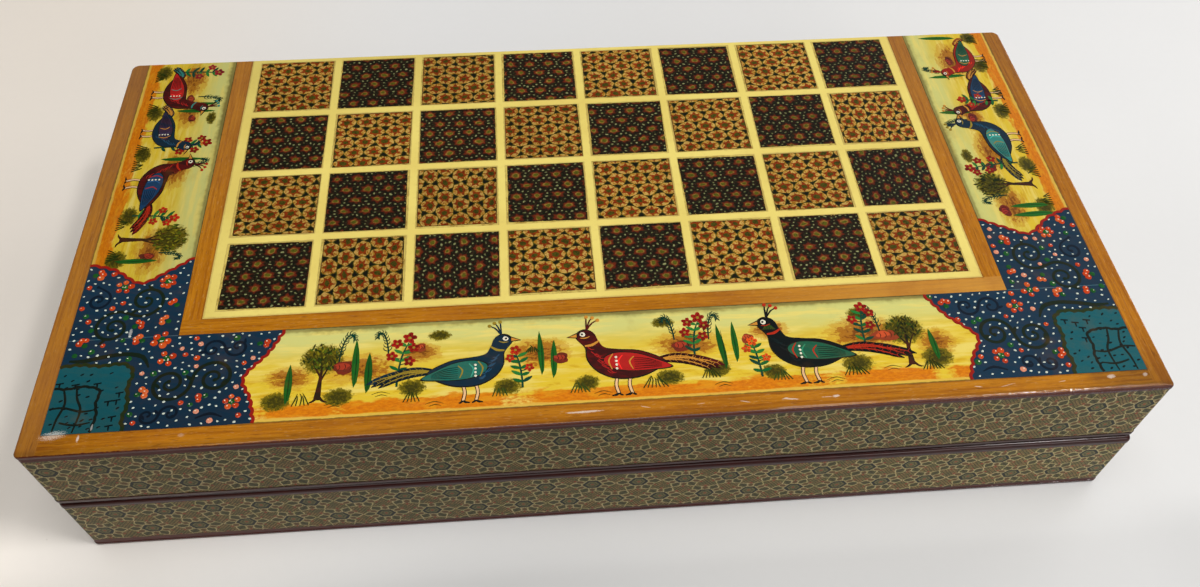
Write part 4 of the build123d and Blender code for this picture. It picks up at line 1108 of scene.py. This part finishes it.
def corner_art(p, mirror, edge_front, edge_side, seed):
    """The blue corner: scrolls, flowers, green dots and white dashes. World mm on
    the left; mirror swaps it to the right."""
    rnd = random.Random(seed)
    M = (lambda x, y: (-x, y)) if mirror else (lambda x, y: (x, y))

    def w(pts):
        return [M(*q) for q in pts]

    ef, es = edge_front, edge_side                        # already in left-hand coordinates
    # two sheets that meet at the panels' seam
    p.flake(w([(-144.42, -39.99)] + [ef[0]] + ef[1:-1] + [ef[-1]] + [(-144.42, -69.06)]), P_BLUE, 0)
    p.flake(w([(-144.42, -39.85)] + es + [(-115.38, -39.85)]), shade(P_BLUE, 0.97), 0)
    p.stroke(w([(-144.3, -39.92), (-137.0, -39.9), (-128.0, -39.94), (-115.5, -39.92)]), 0.16, (92, 108, 116), 1, 1, 1, 3)
    # teal block
    tb = [(-144.42, -48.6), (-139.5, -48.2), (-134.0, -48.9), (-129.0, -48.5), (-126.6, -49.5), (-125.4, -51.6), (-125.9, -56.0), (-125.0, -61.0), (-125.5, -65.5), (-124.6, -69.06), (-144.42, -69.06)]
    p.flake(w(tb), P_TEAL, 1)
    p.stroke(w(scallop(tb[:-1], 15, 0.42)), 1.05, (50, 48, 18), 2, 1, 1, 1)
    # a nested block with branching lines, and small dashes round it
    ib = [(-144.3, -55.2), (-141.0, -55.6), (-137.6, -55.0), (-133.6, -55.8), (-132.6, -57.2), (-132.9, -60.5), (-132.1, -64.0), (-132.6, -68.9)]
    p.stroke(w(scallop(ib, 11, 0.22)), 0.78, (24, 26, 18), 3, 1, 1, 1)
    for q in ([(-141.8, -55.6), (-140.6, -60.0), (-141.6, -64.5), (-142.0, -68.8)], [(-144.2, -61.4), (-140.6, -61.2), (-136.0, -62.6), (-132.4, -62.2)], [(-138.6, -55.3), (-137.8, -58.6), (-136.2, -62.4), (-136.9, -68.8)], [(-140.8, -65.6), (-136.8, -66.6), (-133.0, -66.0)]):
        p.stroke(w(q), 0.62, (24, 28, 20), 3, 0.8, 0.6)
    taken = []
    for i in range(70):
        x, y = rnd.uniform(-143.8, -126.6), rnd.uniform(-68.4, -50.0)
        if all((x - a) ** 2 + (y - b) ** 2 > 2.3 for a, b in taken):
            taken.append((x, y))
            if x > -131.8 or y > -54.6:
                if rnd.random() < 0.4:
                    p.stroke(w([(x - 1.0, y - 0.1), (x + 1.0, y + 0.2)]), 0.72, (8, 20, 20), 3, 0.6, 0.6, 2)
                    p.stroke(w([(x, y), (x + 0.1, y - 1.4)]), 0.66, (8, 20, 20), 3, 0.8, 0.5, 2)
                    continue
            p.dot(*M(x, y), rnd.uniform(0.42, 0.62), (8, 20, 20), 3, 0.02, 7, 0.5, rnd.uniform(0.1, 0.8))
    # scrolls
    keep = []

    def scroll(pts, width, c=P_SCROLL, tip1=0.35):
        p.stroke(w(pts), width, c, 2, 0.5, tip1, 3)
        cc = smooth(pts, False, 2)
        keep.extend([(x, y, 0.85) for x, y in cc])

    def coil(cx, cy, R, a0, sg, turns):
        """A spiral from its heart to the point at angle a0 on its rim."""
        n, out = int(13 * turns), []
        for i in range(n + 1):
            f = i / n
            a, q = a0 - sg * 2 * math.pi * turns * (1 - f), R * (0.14 + 0.86 * f ** 1.05)
            out.append((cx + q * math.cos(a), cy + q * math.sin(a)))
        return out

    def line(pts, width, c):
        wd = [width * (0.50 + 0.50 * math.sin(math.pi * min(max(i / (len(pts) - 1), 0.02), 0.98)) ** 0.5) for i in range(len(pts))]
        p.stroke(w(pts), wd, c, 2, n=2)
        keep.extend([(x, y, width * 0.62) for x, y in pts])
        for e in (pts[0], pts[-1]):
            p.dot(*M(*e), width * 0.62, c, 2, 0.03, 9)

    def curls(pts, width, c, at):
        """Short thorns that leave a scroll on its outer side."""
        for i, side in at:
            (x0, y0), (x1, y1) = pts[i - 1], pts[i + 1]
            th = math.atan2(y1 - y0, (x1 - x0) * (-1 if mirror else 1)) + side * (-0.8 if mirror else 0.8)
            p.leaf(*M(*pts[i]), th, width * 2.6, width * 1.0, c, 2, 0.15, 5)

    def double(A, B, turns=1.6, sg=1, width=0.95, c=P_SCROLL):
        """Two open coils that meet half way between their hearts."""
        R, a = math.hypot(B[0] - A[0], B[1] - A[1]) / 2, math.atan2(B[1] - A[1], B[0] - A[0])
        one, two = coil(*A, R, a, sg, turns), coil(*B, R, a + math.pi, sg, turns)
        pts = one + two[::-1][1:]
        line(pts, width, c)
        k = len(one)
        curls(pts, width, c, ((k - 8, 1), (k + 6, -1), (k - 1, 1)))

    def single(cx, cy, R, a0, sg, turns=1.4, width=0.8, c=P_INKBLUE, tail=()):
        line(coil(cx, cy, R, a0, sg, turns) + list(tail), width, c)

    dx = -3.4 if mirror else 0.0                          # the right sheet is a little narrower
    double((-115.0 + dx * 0.75, -55.6), (-103.8 + dx, -54.4), 1.7, 1, 1.0)
    double((-133.4, -36.2), (-126.2, -27.2), 1.6, -1, 0.95)
    single(-139.4, -26.4, 3.6, 1.2, 1, tail=((-140.4, -21.6),))
    double((-105.4 + dx, -45.2), (-98.9 + dx * 0.9, -44.8), 1.2, -1, 0.75, P_INKBLUE)
    double((-119.0, -65.0), (-113.4, -64.8), 1.1, 1, 0.75, P_INKBLUE)
    scroll([(-142.6, -46.6), (-138.6, -46.8), (-134.0, -45.8), (-128.4, -45.2), (-123.6, -46.4), (-121.4, -50.0)], 1.25)
    scroll([(-106.8, -66.6), (-103.2, -65.4), (-100.0, -66.6)], 0.8, P_INKBLUE)

    def inside(x, y, mar):
        if x < -144.4 + mar or y < -69.0 + mar:
            return False
        if -145 < x < -124.4 + mar * 0.6 and y < -48.0 + mar * 0.6:
            return False
        if x > -115.4 - mar and y > -40.0 - mar:
            return False
        if y < -39.9:                                      # front part: left of the scalloped edge
            xe = min((abs(q[1] - y), q[0]) for q in ef)[1]
            return x < xe - mar
        ye = min((abs(q[0] - x), q[1]) for q in es)[1]
        return y < ye - mar

    def free(x, y, r):
        return inside(x, y, r) and all((x - a) ** 2 + (y - b) ** 2 > (r + c) ** 2 for a, b, c in keep)

    def drop(x, y, r, c, hi):
        p.dot(*M(x, y), r, c, 4, 0.07, 11)
        if hi:
            p.dot(*M(x - r * 0.2, y + r * 0.15), r * 0.62, shade(c, 1.25), 5, 0.04, 8, 0.8, rnd.uniform(0, 3))
            p.dot(*M(x - r * 0.28, y + r * 0.22), r * 0.40, hi, 6, 0.05, 7, 0.75, rnd.uniform(0, 3))

    def flower(x, y, k):
        a0 = rnd.uniform(0, 6.28)
        nn = rnd.choice((4, 5, 5, 6))
        for i in range(nn):
            a = a0 + 2 * math.pi * i / nn + rnd.uniform(-0.16, 0.16)
            q = rnd.uniform(1.75, 2.1) * k
            drop(x + math.cos(a) * q, y + math.sin(a) * q, rnd.uniform(0.80, 1.06) * k, rnd.choice(((188, 64, 12), (180, 54, 10), (168, 48, 10), (194, 80, 28))), (236, 208, 182))
        drop(x, y, 1.02 * k, (30, 88, 28), None)
        for i in range(4):
            p.dot(*M(x + rnd.uniform(-0.55, 0.55), y + rnd.uniform(-0.55, 0.55)), 0.2, P_WHITE, 7, 0.03, 6)

    def sprig(x, y, k):
        a0 = rnd.uniform(0, 6.28)
        nn = rnd.choice((2, 3, 3))
        for i in range(nn):
            a = a0 + i * 1.02
            drop(x + math.cos(a) * 1.35 * k, y + math.sin(a) * 1.35 * k, rnd.uniform(0.82, 1.08) * k, rnd.choice(((186, 60, 12), (174, 52, 12), (196, 88, 38))), (236, 210, 184))
        drop(x - math.cos(a0 + 0.95) * 0.9 * k, y - math.sin(a0 + 0.95) * 0.9 * k, 0.85 * k, (24, 78, 26), P_WHITE if rnd.random() < 0.5 else None)

    for kind, r, tries, most in ((flower, 3.3, 500, 7), (sprig, 2.5, 700, 9), (None, 1.15, 900, 22), ("g", 0.95, 600, 12)):
        got = 0
        for _ in range(tries):
            x, y = rnd.uniform(-144, -90), rnd.uniform(-69, -13)
            if free(x, y, r):
                if kind is None:
                    drop(x, y, rnd.uniform(0.62, 0.85), rnd.choice(((190, 66, 18), (178, 54, 16), P_PINK)), P_WHITE)
                elif kind == "g":
                    drop(x, y, rnd.uniform(0.7, 0.95), (28, 84, 34), P_WHITE if rnd.random() < 0.8 else None)
                else:
                    kind(x, y, rnd.uniform(0.86, 1.0))
                keep.append((x, y, r))
                got += 1
                if got >= most:
                    break
    got = 0
    for _ in range(9000):
        x, y = rnd.uniform(-144, -88), rnd.uniform(-69, -12)
        if free(x, y, 0.52):
            p.dot(*M(x, y), rnd.uniform(0.30, 0.44), (190, 198, 184), 3, 0.04, 8, rnd.uniform(0.55, 0.8), rnd.uniform(-0.6, 0.9))
            keep.append((x, y, 1.32))
            got += 1
            if got >= 205:
                break
    # crimson line along the lobed edge, with a thin orange one inside
    p.stroke(w(ef), 0.85, P_CRIMSON, 7, 1, 1, 1)
    p.stroke(w(es), 0.85, P_CRIMSON, 7, 1, 1, 1)


FRONT_EDGE_L = scallop([(-87.2, -39.99), (-90.6, -47.0), (-96.4, -55.0), (-93.8, -62.0), (-92.2, -69.06)], 13, 0.5)
FRONT_EDGE_R = scallop([(-91.2, -39.99), (-95.6, -47.4), (-102.2, -55.2), (-98.8, -62.2), (-96.2, -69.06)], 13, 0.5)
SIDE_EDGE_L = scallop([(-144.42, -13.6), (-137.0, -16.0), (-129.2, -21.2), (-122.4, -17.6), (-115.38, -12.6)], 11, 0.5)
SIDE_EDGE_R = scallop([(-144.42, -10.4), (-137.0, -13.6), (-129.2, -19.6), (-122.4, -16.8), (-115.38, -13.0)], 11, 0.5)
for e in (FRONT_EDGE_L, FRONT_EDGE_R):
    e[0], e[-1] = (e[0][0], -39.99), (e[-1][0], -69.06)
for e in (SIDE_EDGE_L, SIDE_EDGE_R):
    e[0], e[-1] = (-144.42, e[0][1]), (-115.38, e[-1][1])


def picture_front(p):
    """Birds among shrubs and cypresses; s runs -90..95, t 0..29."""
    r = p.rnd
    # birds
    p.bird(-39.0, 11.6, 1.22, 1, P_NAVY, (44, 100, 84), P_MUSTARD, 4, 15.0, True, False, 0.6)
    p.bird(6.0, 11.4, 1.26, -1, P_MAROON, (168, 30, 26), P_OCHRE, 4, 14.5, True, False, 0.4)
    p.bird(56.0, 11.6, 1.26, -1, P_BLACK, (40, 88, 62), P_RED, 4, 16.5, True, False, 0.9)
    # trees at both ends
    p.tree(-76.0, 6.4, 17.0, 2)
    p.tree(82.0, 6.6, 15.5, 2, P_OLIVE_DK)
    # cypresses in pairs
    for s, t, h, w in ((-84.2, 5.0, 12.5, 2.0), (-67.0, 9.0, 15.5, 2.0), (-63.6, 7.0, 13.0, 2.1), (-17.6, 9.5, 14.5, 1.7), (-14.6, 8.4, 12.4, 1.8), (31.6, 8.0, 15.0, 1.8), (34.8, 10.0, 13.6, 1.7), (89.4, 7.0, 10.5, 1.8)):
        p.cypress(s, t, h, w, r.choice(((34, 88, 24), (28, 78, 20))), 3)
    # flowering stems
    p.spray(-56.0, 8.5, 14.5, 3.0, P_CRIMSON, 3, 5, 1.5)
    p.spray(-23.0, 6.0, 11.0, -1.6, P_RED, 9, 3, 1.2)
    p.spray(23.5, 12.5, 12.0, 2.4, P_CRIMSON, 3, 5, 1.45)
    p.spray(40.6, 5.0, 10.5, -1.0, P_ORANGE, 9, 3, 1.2)
    p.spray(70.5, 13.0, 12.0, 1.5, P_CRIMSON, 3, 4, 1.4)
    # ferns
    for s, t, h, l in ((-71.5, 17.0, 9.5, 2.4), (-58.5, 18.0, 8.5, -2.0), (18.6, 18.5, 8.0, -1.8), (28.0, 18.0, 8.6, 2.0), (75.4, 17.0, 8.5, -1.6)):
        p.fern(s, t, h, l, P_DKGREEN, 3)
    # rocks and ground marks
    for s, t, w, h in ((-70.0, 15.6, 3.4, 1.9), (-12.5, 14.6, 2.2, 1.6), (20.5, 16.4, 3.0, 1.7), (76.5, 16.0, 3.4, 2.0), (-50.0, 20.6, 1.6, 1.3), (38.6, 17.6, 1.7, 1.5)):
        p.rock(s, t, w, h, 3, r.choice((P_ROCK, (140, 56, 28))))
    for s, t, k in ((-80.5, 4.4, 4.6), (-52.0, 3.6, 4.4), (-29.0, 3.8, 4.0), (-8.0, 3.4, 4.2), (12.0, 3.6, 4.6), (27.0, 5.6, 4.0), (46.0, 3.6, 4.2), (66.0, 3.8, 4.6), (87.0, 4.2, 4.0), (-20.0, 17.0, 2.6), (45.0, 20.0, 2.4)):
        p.grass(s, t, k, r.choice((P_OLIVE_DK, (60, 70, 20))), 11, r.choice((5, 6, 7)))
    # faint ground arcs
    for s, t in ((-60, 6.5), (-46, 2.6), (-2, 2.8), (30, 3.4), (60, 2.8), (76, 5.4), (-72, 4.0), (17, 5.6)):
        p.stroke([(s - 2.4, t), (s, t + 0.7), (s + 2.4, t)], 0.2, P_OLIVE_DK, 3, 0.4, 0.3)
        p.stroke([(s - 1.4, t - 0.7), (s + 0.2, t - 0.2), (s + 1.8, t - 0.7)], 0.2, P_OLIVE_DK, 3, 0.4, 0.3)


def picture_left(p):
    """s runs -75 (back) to 16, t 0..29."""
    r = p.rnd
    p.bird(-61.0, 11.0, 0.98, 1, P_MAROON, (168, 30, 26), P_SEA, 4, 6.6, True, False, 3.0)
    p.bird(-42.5, 10.6, 0.92, 1, P_NAVY, (60, 40, 60), P_OCHRE, 4, 7.0, True, False, 1.6)
    p.bird(-16.5, 11.2, 1.08, -1, P_MAROON, (34, 60, 92), P_RED, 4, 12.0, True, False, 1.6)
    p.tree(4.5, 6.8, 18.5, 2, P_OLIVE)
    for s, t, h, w in ((-53.5, 12.0, 14.0, 1.7), (-50.8, 13.0, 12.5, 1.6), (-28.6, 12.0, 13.5, 1.6), (12.6, 6.5, 12.0, 1.8)):
        p.cypress(s, t, h, w, (34, 88, 24), 3)
    p.spray(-34.0, 9.0, 15.0, -1.5, P_CRIMSON, 3, 5, 1.35)
    p.spray(-70.2, 11.0, 12.0, 0.8, (150, 34, 40), 3, 3, 1.3)
    p.spray(-5.2, 8.0, 11.5, 1.6, P_RED, 3, 4, 1.25)
    for s, t, h, l in ((-57.5, 19.0, 7.5, 1.6), (-25.6, 19.0, 7.5, -1.6), (9.8, 18.4, 6.5, 1.6)):
        p.fern(s, t, h, l, P_DKGREEN, 3)
    for s, t, w, h in ((-56.0, 16.5, 2.4, 1.4), (-24.0, 17.0, 2.6, 1.5), (11.2, 15.2, 1.4, 2.4), (-47.0, 18.5, 1.6, 1.2)):
        p.rock(s, t, w, h, 3)
    for s, t, k in ((-68.0, 3.6, 4.0), (-52.0, 3.8, 4.2), (-33.0, 3.6, 4.4), (-26.0, 4.0, 3.8), (-2.0, 4.2, 4.0), (10.5, 4.0, 4.0)):
        p.grass(s, t, k, P_OLIVE_DK, 11, 6)


def picture_right(p):
    """s runs -16 to 75 (back), t 0..29."""
    r = p.rnd
    p.bird(19.5, 12.0, 1.06, 1, P_NAVY, P_SEA, P_MUSTARD, 4, 11.0, True, False, 1.6)
    p.bird(43.6, 11.0, 0.98, -1, P_MAROON, (30, 56, 84), P_OCHRE, 4, 7.0, True, False, 2.4)
    p.bird(62.4, 10.6, 0.92, -1, P_CRIMSON, (34, 84, 58), P_OCHRE, 4, 5.0, True, False, 2.0)
    p.tree(1.0, 8.0, 17.0, 2, P_OLIVE_DK)
    for s, t, h, w in ((-11.6, 5.0, 13.0, 2.1), (-8.2, 5.6, 12.0, 2.0), (52.4, 13.0, 13.0, 1.6), (34.0, 17.0, 10.5, 1.7), (72.2, 11.0, 13.0, 1.7)):
        p.cypress(s, t, h, w, (36, 96, 28), 3)
    p.spray(10.0, 9.0, 15.0, -1.4, P_CRIMSON, 3, 5, 1.35)
    p.spray(39.0, 6.0, 11.0, 1.2, P_RED, 9, 3, 1.2)
    for s, t, h, l in ((-3.6, 17.0, 8.0, -1.8), (30.6, 19.0, 7.5, -1.6), (54.6, 19.5, 7.0, 1.4)):
        p.fern(s, t, h, l, P_DKGREEN, 3)
    for s, t, w, h in ((-9.8, 19.6, 2.2, 1.7), (8.6, 18.0, 1.8, 1.7), (31.0, 17.0, 2.4, 1.5), (60.0, 16.5, 2.0, 1.4)):
        p.rock(s, t, w, h, 3, (112, 34, 26))
    for s, t, k in ((-6.0, 3.8, 4.0), (6.0, 3.8, 4.2), (16.0, 4.2, 4.2), (35.0, 3.6, 4.2), (43.5, 3.8, 3.8), (58.0, 3.8, 4.2), (71.0, 3.8, 3.8)):
        p.grass(s, t, k, P_OLIVE_DK, 11, 6)


def build_paint(name, p, half, mat, tone=1.0):
    """Makes a mesh piece of a Paint's flakes on the lid's or base's outer face."""
    v = np.array(p.v, dtype=float)
    if half == "lid":
        z = HEIGHT + v[:, 2]
    else:                                   # thinner, on the face the box stands on
        z = np.where(v[:, 2] > 0, -v[:, 2] * 0.12, 0.04)
        k = np.clip((-39.9 - v[:, 1]) / 29.25, 0, 1)
        v[:, 1] -= SKEW * (v[:, 0] + 150.0) / 300.0 * k
    co = np.stack([v[:, 0], v[:, 1], z], 1) * MM
    faces = p.f if half == "lid" else [tuple(reversed(f)) for f in p.f]
    me = bpy.data.meshes.new(name)
    me.from_pydata(co.tolist(), [], faces)
    at = me.color_attributes.new("paint", "FLOAT_COLOR", "POINT")
    lut = {}
    col = np.array([lut.setdefault(c, lin(*c)) for c in p.c], dtype=np.float32) * np.float32([tone, tone, tone, 1.0])
    at.data.foreach_set("color", col.ravel())
    uv = me.uv_layers.new(name="OFBake")
    li = np.empty(len(me.loops), dtype=np.int32)
    me.loops.foreach_get("vertex_index", li)
    lo, hi = co[:, :2].min(0), co[:, :2].max(0)
    uv.data.foreach_set("uv", ((co[li, :2] - lo) / (hi - lo)).astype(np.float32).ravel())
    me.update()
    o = bpy.data.objects.new(name, me)
    bpy.context.scene.collection.objects.link(o)
    me.materials.append(mat)
    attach(o, half)
    return o


def panel_place(which):
    if which == "front":
        return lambda s, t: (s, t - 69.15)
    if which == "left":
        return lambda s, t: (t - 144.5, -s)
    if which == "right":
        return lambda s, t: (144.5 - t, s)
    return lambda x, y: (x, y)


def assign(node, m):
    o = NODES[node]
    o.data.materials.clear()
    o.data.materials.append(m)


PAINTS = []
for i, (which, draw) in enumerate((("front", picture_front), ("left", picture_left), ("right", picture_right))):
    pt = Paint(panel_place(which), 31 + i)
    draw(pt)
    PAINTS.append(("picture_" + which, pt, {"front": 1.0, "left": 0.82, "right": 0.92}[which]))
for i, (which, ef, es) in enumerate((("left", FRONT_EDGE_L, SIDE_EDGE_L), ("right", FRONT_EDGE_R, SIDE_EDGE_R))):
    pt = Paint(panel_place(None), 51 + i)
    corner_art(pt, which == "right", ef, es, 61 + i)
    PAINTS.append(("corner_" + which, pt, 1.0))

for half in ("base", "lid"):
    top = half == "lid"
    sd = 0.0 if top else 30.0
    assign(half + "_border_front", amber_lath(half + "_amber_front", "x", 1.0 + sd, scuffed=top))
    assign(half + "_border_left", amber_lath(half + "_amber_left", "y", 2.0 + sd, scuffed=top, dull=0.36))
    # the right lath's darker dry colour is painted shade against the window light's sheen
    assign(half + "_border_right", amber_lath(half + "_amber_right", "y", 3.0 + sd, scuffed=top, dry=(98, 66, 30)))
    assign(half + "_strip_front", amber_lath(half + "_strip_front_wood", "x", 4.0 + sd, edge=False, pale=0.5))
    assign(half + "_strip_left", amber_lath(half + "_strip_left_wood", "y", 5.0 + sd, edge=False))
    assign(half + "_strip_right", amber_lath(half + "_strip_right_wood", "y", 6.0 + sd, edge=False))
    for p in ("front", "left", "right"):
        assign(half + "_painted_" + p, wash(half + "_wash_" + p, p))
    paint_mat = paint_material(half + "_paint")
    for what, pt, tone in PAINTS:
        build_paint(half + "_" + what, pt, half, paint_mat, tone)
    assign(half + "_chess_field", cream(half + "_cream"))
    assign(half + "_light_squares", light_tiles(half + "_light_mosaic"))
    assign(half + "_dark_squares", dark_tiles(half + "_dark_mosaic"))
    assign(half + "_panel", maroon_panel(half + "_panel_m"))
    for i, w in enumerate(("front", "back", "left", "right")):
        ax = "x" if w in ("front", "back") else "y"
        assign(half + "_wall_" + w, wall_wood(half + "_wall_" + w + "_m", ax, 11.0 + i + sd))
        assign(half + "_band_" + w, band(half + "_band_" + w + "_m", ax, -1.0 if w in ("back", "left") else 1.0, 3.1 * i))
    assign(half + "_playing_floor", playing_floor(half + "_floor_m"))
    assign(half + "_light_points", point_wood(half + "_light_points_m", (lin(232, 206, 150), lin(220, 190, 130), lin(186, 148, 90)), 40.0 + sd))
    assign(half + "_dark_points", point_wood(half + "_dark_points_m", (lin(106, 52, 34), lin(84, 38, 26), lin(50, 22, 16)), 44.0 + sd))
    assign(half + "_hinge_screws", brass(half + "_screws_m", 0.85))
for side in ("left", "right"):
    for part in ("base_leaf", "lid_leaf", "pin"):
        assign(side + "_hinge_" + part, brass(side + "_hinge_" + part + "_m", 0.8 if part == "pin" else 1.0))

# --------------------------------------------------------- floor, light, camera
bm = bmesh.new()
bmesh.ops.create_grid(bm, x_segments=1, y_segments=1, size=3.0)
me = bpy.data.meshes.new("floor"); bm.to_mesh(me); bm.free()
floor = bpy.data.objects.new("floor", me)
bpy.context.scene.collection.objects.link(floor)
floor.location = (0, 0, -0.00005)


def floor_paper(name):
    """White painted table: a little warmer on the left, with painted shadow in front of the box and beside its right
    end, and painted light close to its front left, beside its left end and behind it.
    """
    g = Graph(name)
    fx, fy = g.x, g.y
    c = g.mix(fx.ramp(-40.0, -230.0), lin(226, 226, 226), lin(229, 221, 211))
    front = fy.ramp(-78.0, -96.0)
    # painted shadow in front of the box; painted light close to its front on the left, beside its left end and behind
    # it on the left
    tone = 1.0 - front * fx.ramp(-130.0, -20.0) * fx.ramp(60.0, 230.0, 1.0, 0.5) * 0.20
    tone = tone + (1.0 - front) * fy.ramp(-60.0, -76.0) * fx.ramp(0.0, -120.0) * 0.20
    tone = tone + fx.ramp(-130.0, -190.0) * fy.ramp(-50.0, -84.0) * 0.12 + fy.ramp(20.0, 120.0) * fx.ramp(40.0, -200.0) * 0.08
    m = g.noise(g.vec(fx * 0.02, fy * 0.02, 0.0), 1.0, 4.0, 0.6)
    f = g.noise(g.vec(fx * 0.35, fy * 0.35, 1.0), 1.0, 3.0, 0.6)
    # painted shadow in front towards the left, and beside the right end
    tone = tone - fy.ramp(-70.0, -110.0) * fx.ramp(60.0, -60.0) * 0.15 - fx.ramp(150.0, 175.0) * fy.ramp(80.0, 0.0) * 0.05
    c = g.scale_colour(c, tone * (0.975 + m * 0.03 + f * 0.02))
    v = g.noise(g.vec(fx * 0.16, fy * 0.16, 5.0), 1.0, 1.0)
    c = g.mix((v * 1.0).ramp(0.815, 0.84) * 0.5, c, lin(120, 104, 90))
    return g.finish(c, 0.6)


floor.data.materials.append(floor_paper("floor_paper"))

world = bpy.data.worlds.new("world")
bpy.context.scene.world = world
world.use_nodes = True
wn = world.node_tree
bg = wn.nodes["Background"]
wt = wn.nodes.new("ShaderNodeTexCoord")
ws = wn.nodes.new("ShaderNodeSeparateXYZ")
wn.links.new(wt.outputs["Generated"], ws.inputs[0])
wm = wn.nodes.new("ShaderNodeMapRange")              # dim and warm on the left, brighter on the right
for i, v in ((1, -0.7), (2, 0.9)):
    wm.inputs[i].default_value = v
wn.links.new(ws.outputs[0], wm.inputs[0])
wr = wn.nodes.new("ShaderNodeValToRGB")
wr.color_ramp.elements[0].color = (0.034, 0.029, 0.023, 1)
wr.color_ramp.elements[1].color = (0.22, 0.22, 0.22, 1)
wn.links.new(wm.outputs[0], wr.inputs[0])
wn.links.new(wr.outputs[0], bg.inputs[0])
bg.inputs[1].default_value = 1.0


def area(name, loc, target, size, power, colour=(1, 1, 1)):
    d = bpy.data.lights.new(name, "AREA")
    d.shape = "RECTANGLE"; d.size, d.size_y = size
    d.energy = power; d.color = colour
    o = bpy.data.objects.new(name, d)
    bpy.context.scene.collection.objects.link(o)
    o.location = loc
    o.rotation_euler = (Vector(target) - Vector(loc)).to_track_quat("-Z", "Y").to_euler()
    return o


area("softbox", (0.0, 0.05, 2.0), (0, 0, 0), (1.5, 0.9), 20, (1.0, 0.985, 0.965))
area("window", (1.75, 1.45, 0.62), (0, 0, 0), (1.4, 0.4), 13, (1.0, 0.99, 0.98))
area("front", (-0.2, -1.5, 1.5), (0, 0, 0), (1.4, 0.8), 6.6, (1.0, 0.985, 0.96))
area("key", (0.86, -0.26, 1.45), (0, 0, 0), (0.42, 0.14), 9.4, (1.0, 0.99, 0.975))
area("side", (0.60, -1.00, 0.52), (0.05, -0.05, 0.02), (0.50, 0.34), 2.2, (1.0, 0.985, 0.96))

cam_d = bpy.data.cameras.new("camera")
cam = bpy.data.objects.new("camera", cam_d)
bpy.context.scene.collection.objects.link(cam)
CAM_LOC = Vector((-0.01711, -0.20430, 0.27212))
fwd = Vector((0.059, 0.595, -0.802)).normalized()
right = Vector((0.997, -0.079, 0.014)); right = (right - fwd * right.dot(fwd)).normalized()
up = right.cross(fwd)
cam.matrix_world = Matrix(((right.x, up.x, -fwd.x, CAM_LOC.x), (right.y, up.y, -fwd.y, CAM_LOC.y), (right.z, up.z, -fwd.z, CAM_LOC.z), (0, 0, 0, 1)))
cam_d.sensor_width = 36.0
cam_d.lens = 29.697
cam_d.shift_y = 0.01897
cam_d.clip_start = 0.01
bpy.context.scene.camera = cam
bpy.context.scene.view_settings.view_transform = "Standard"
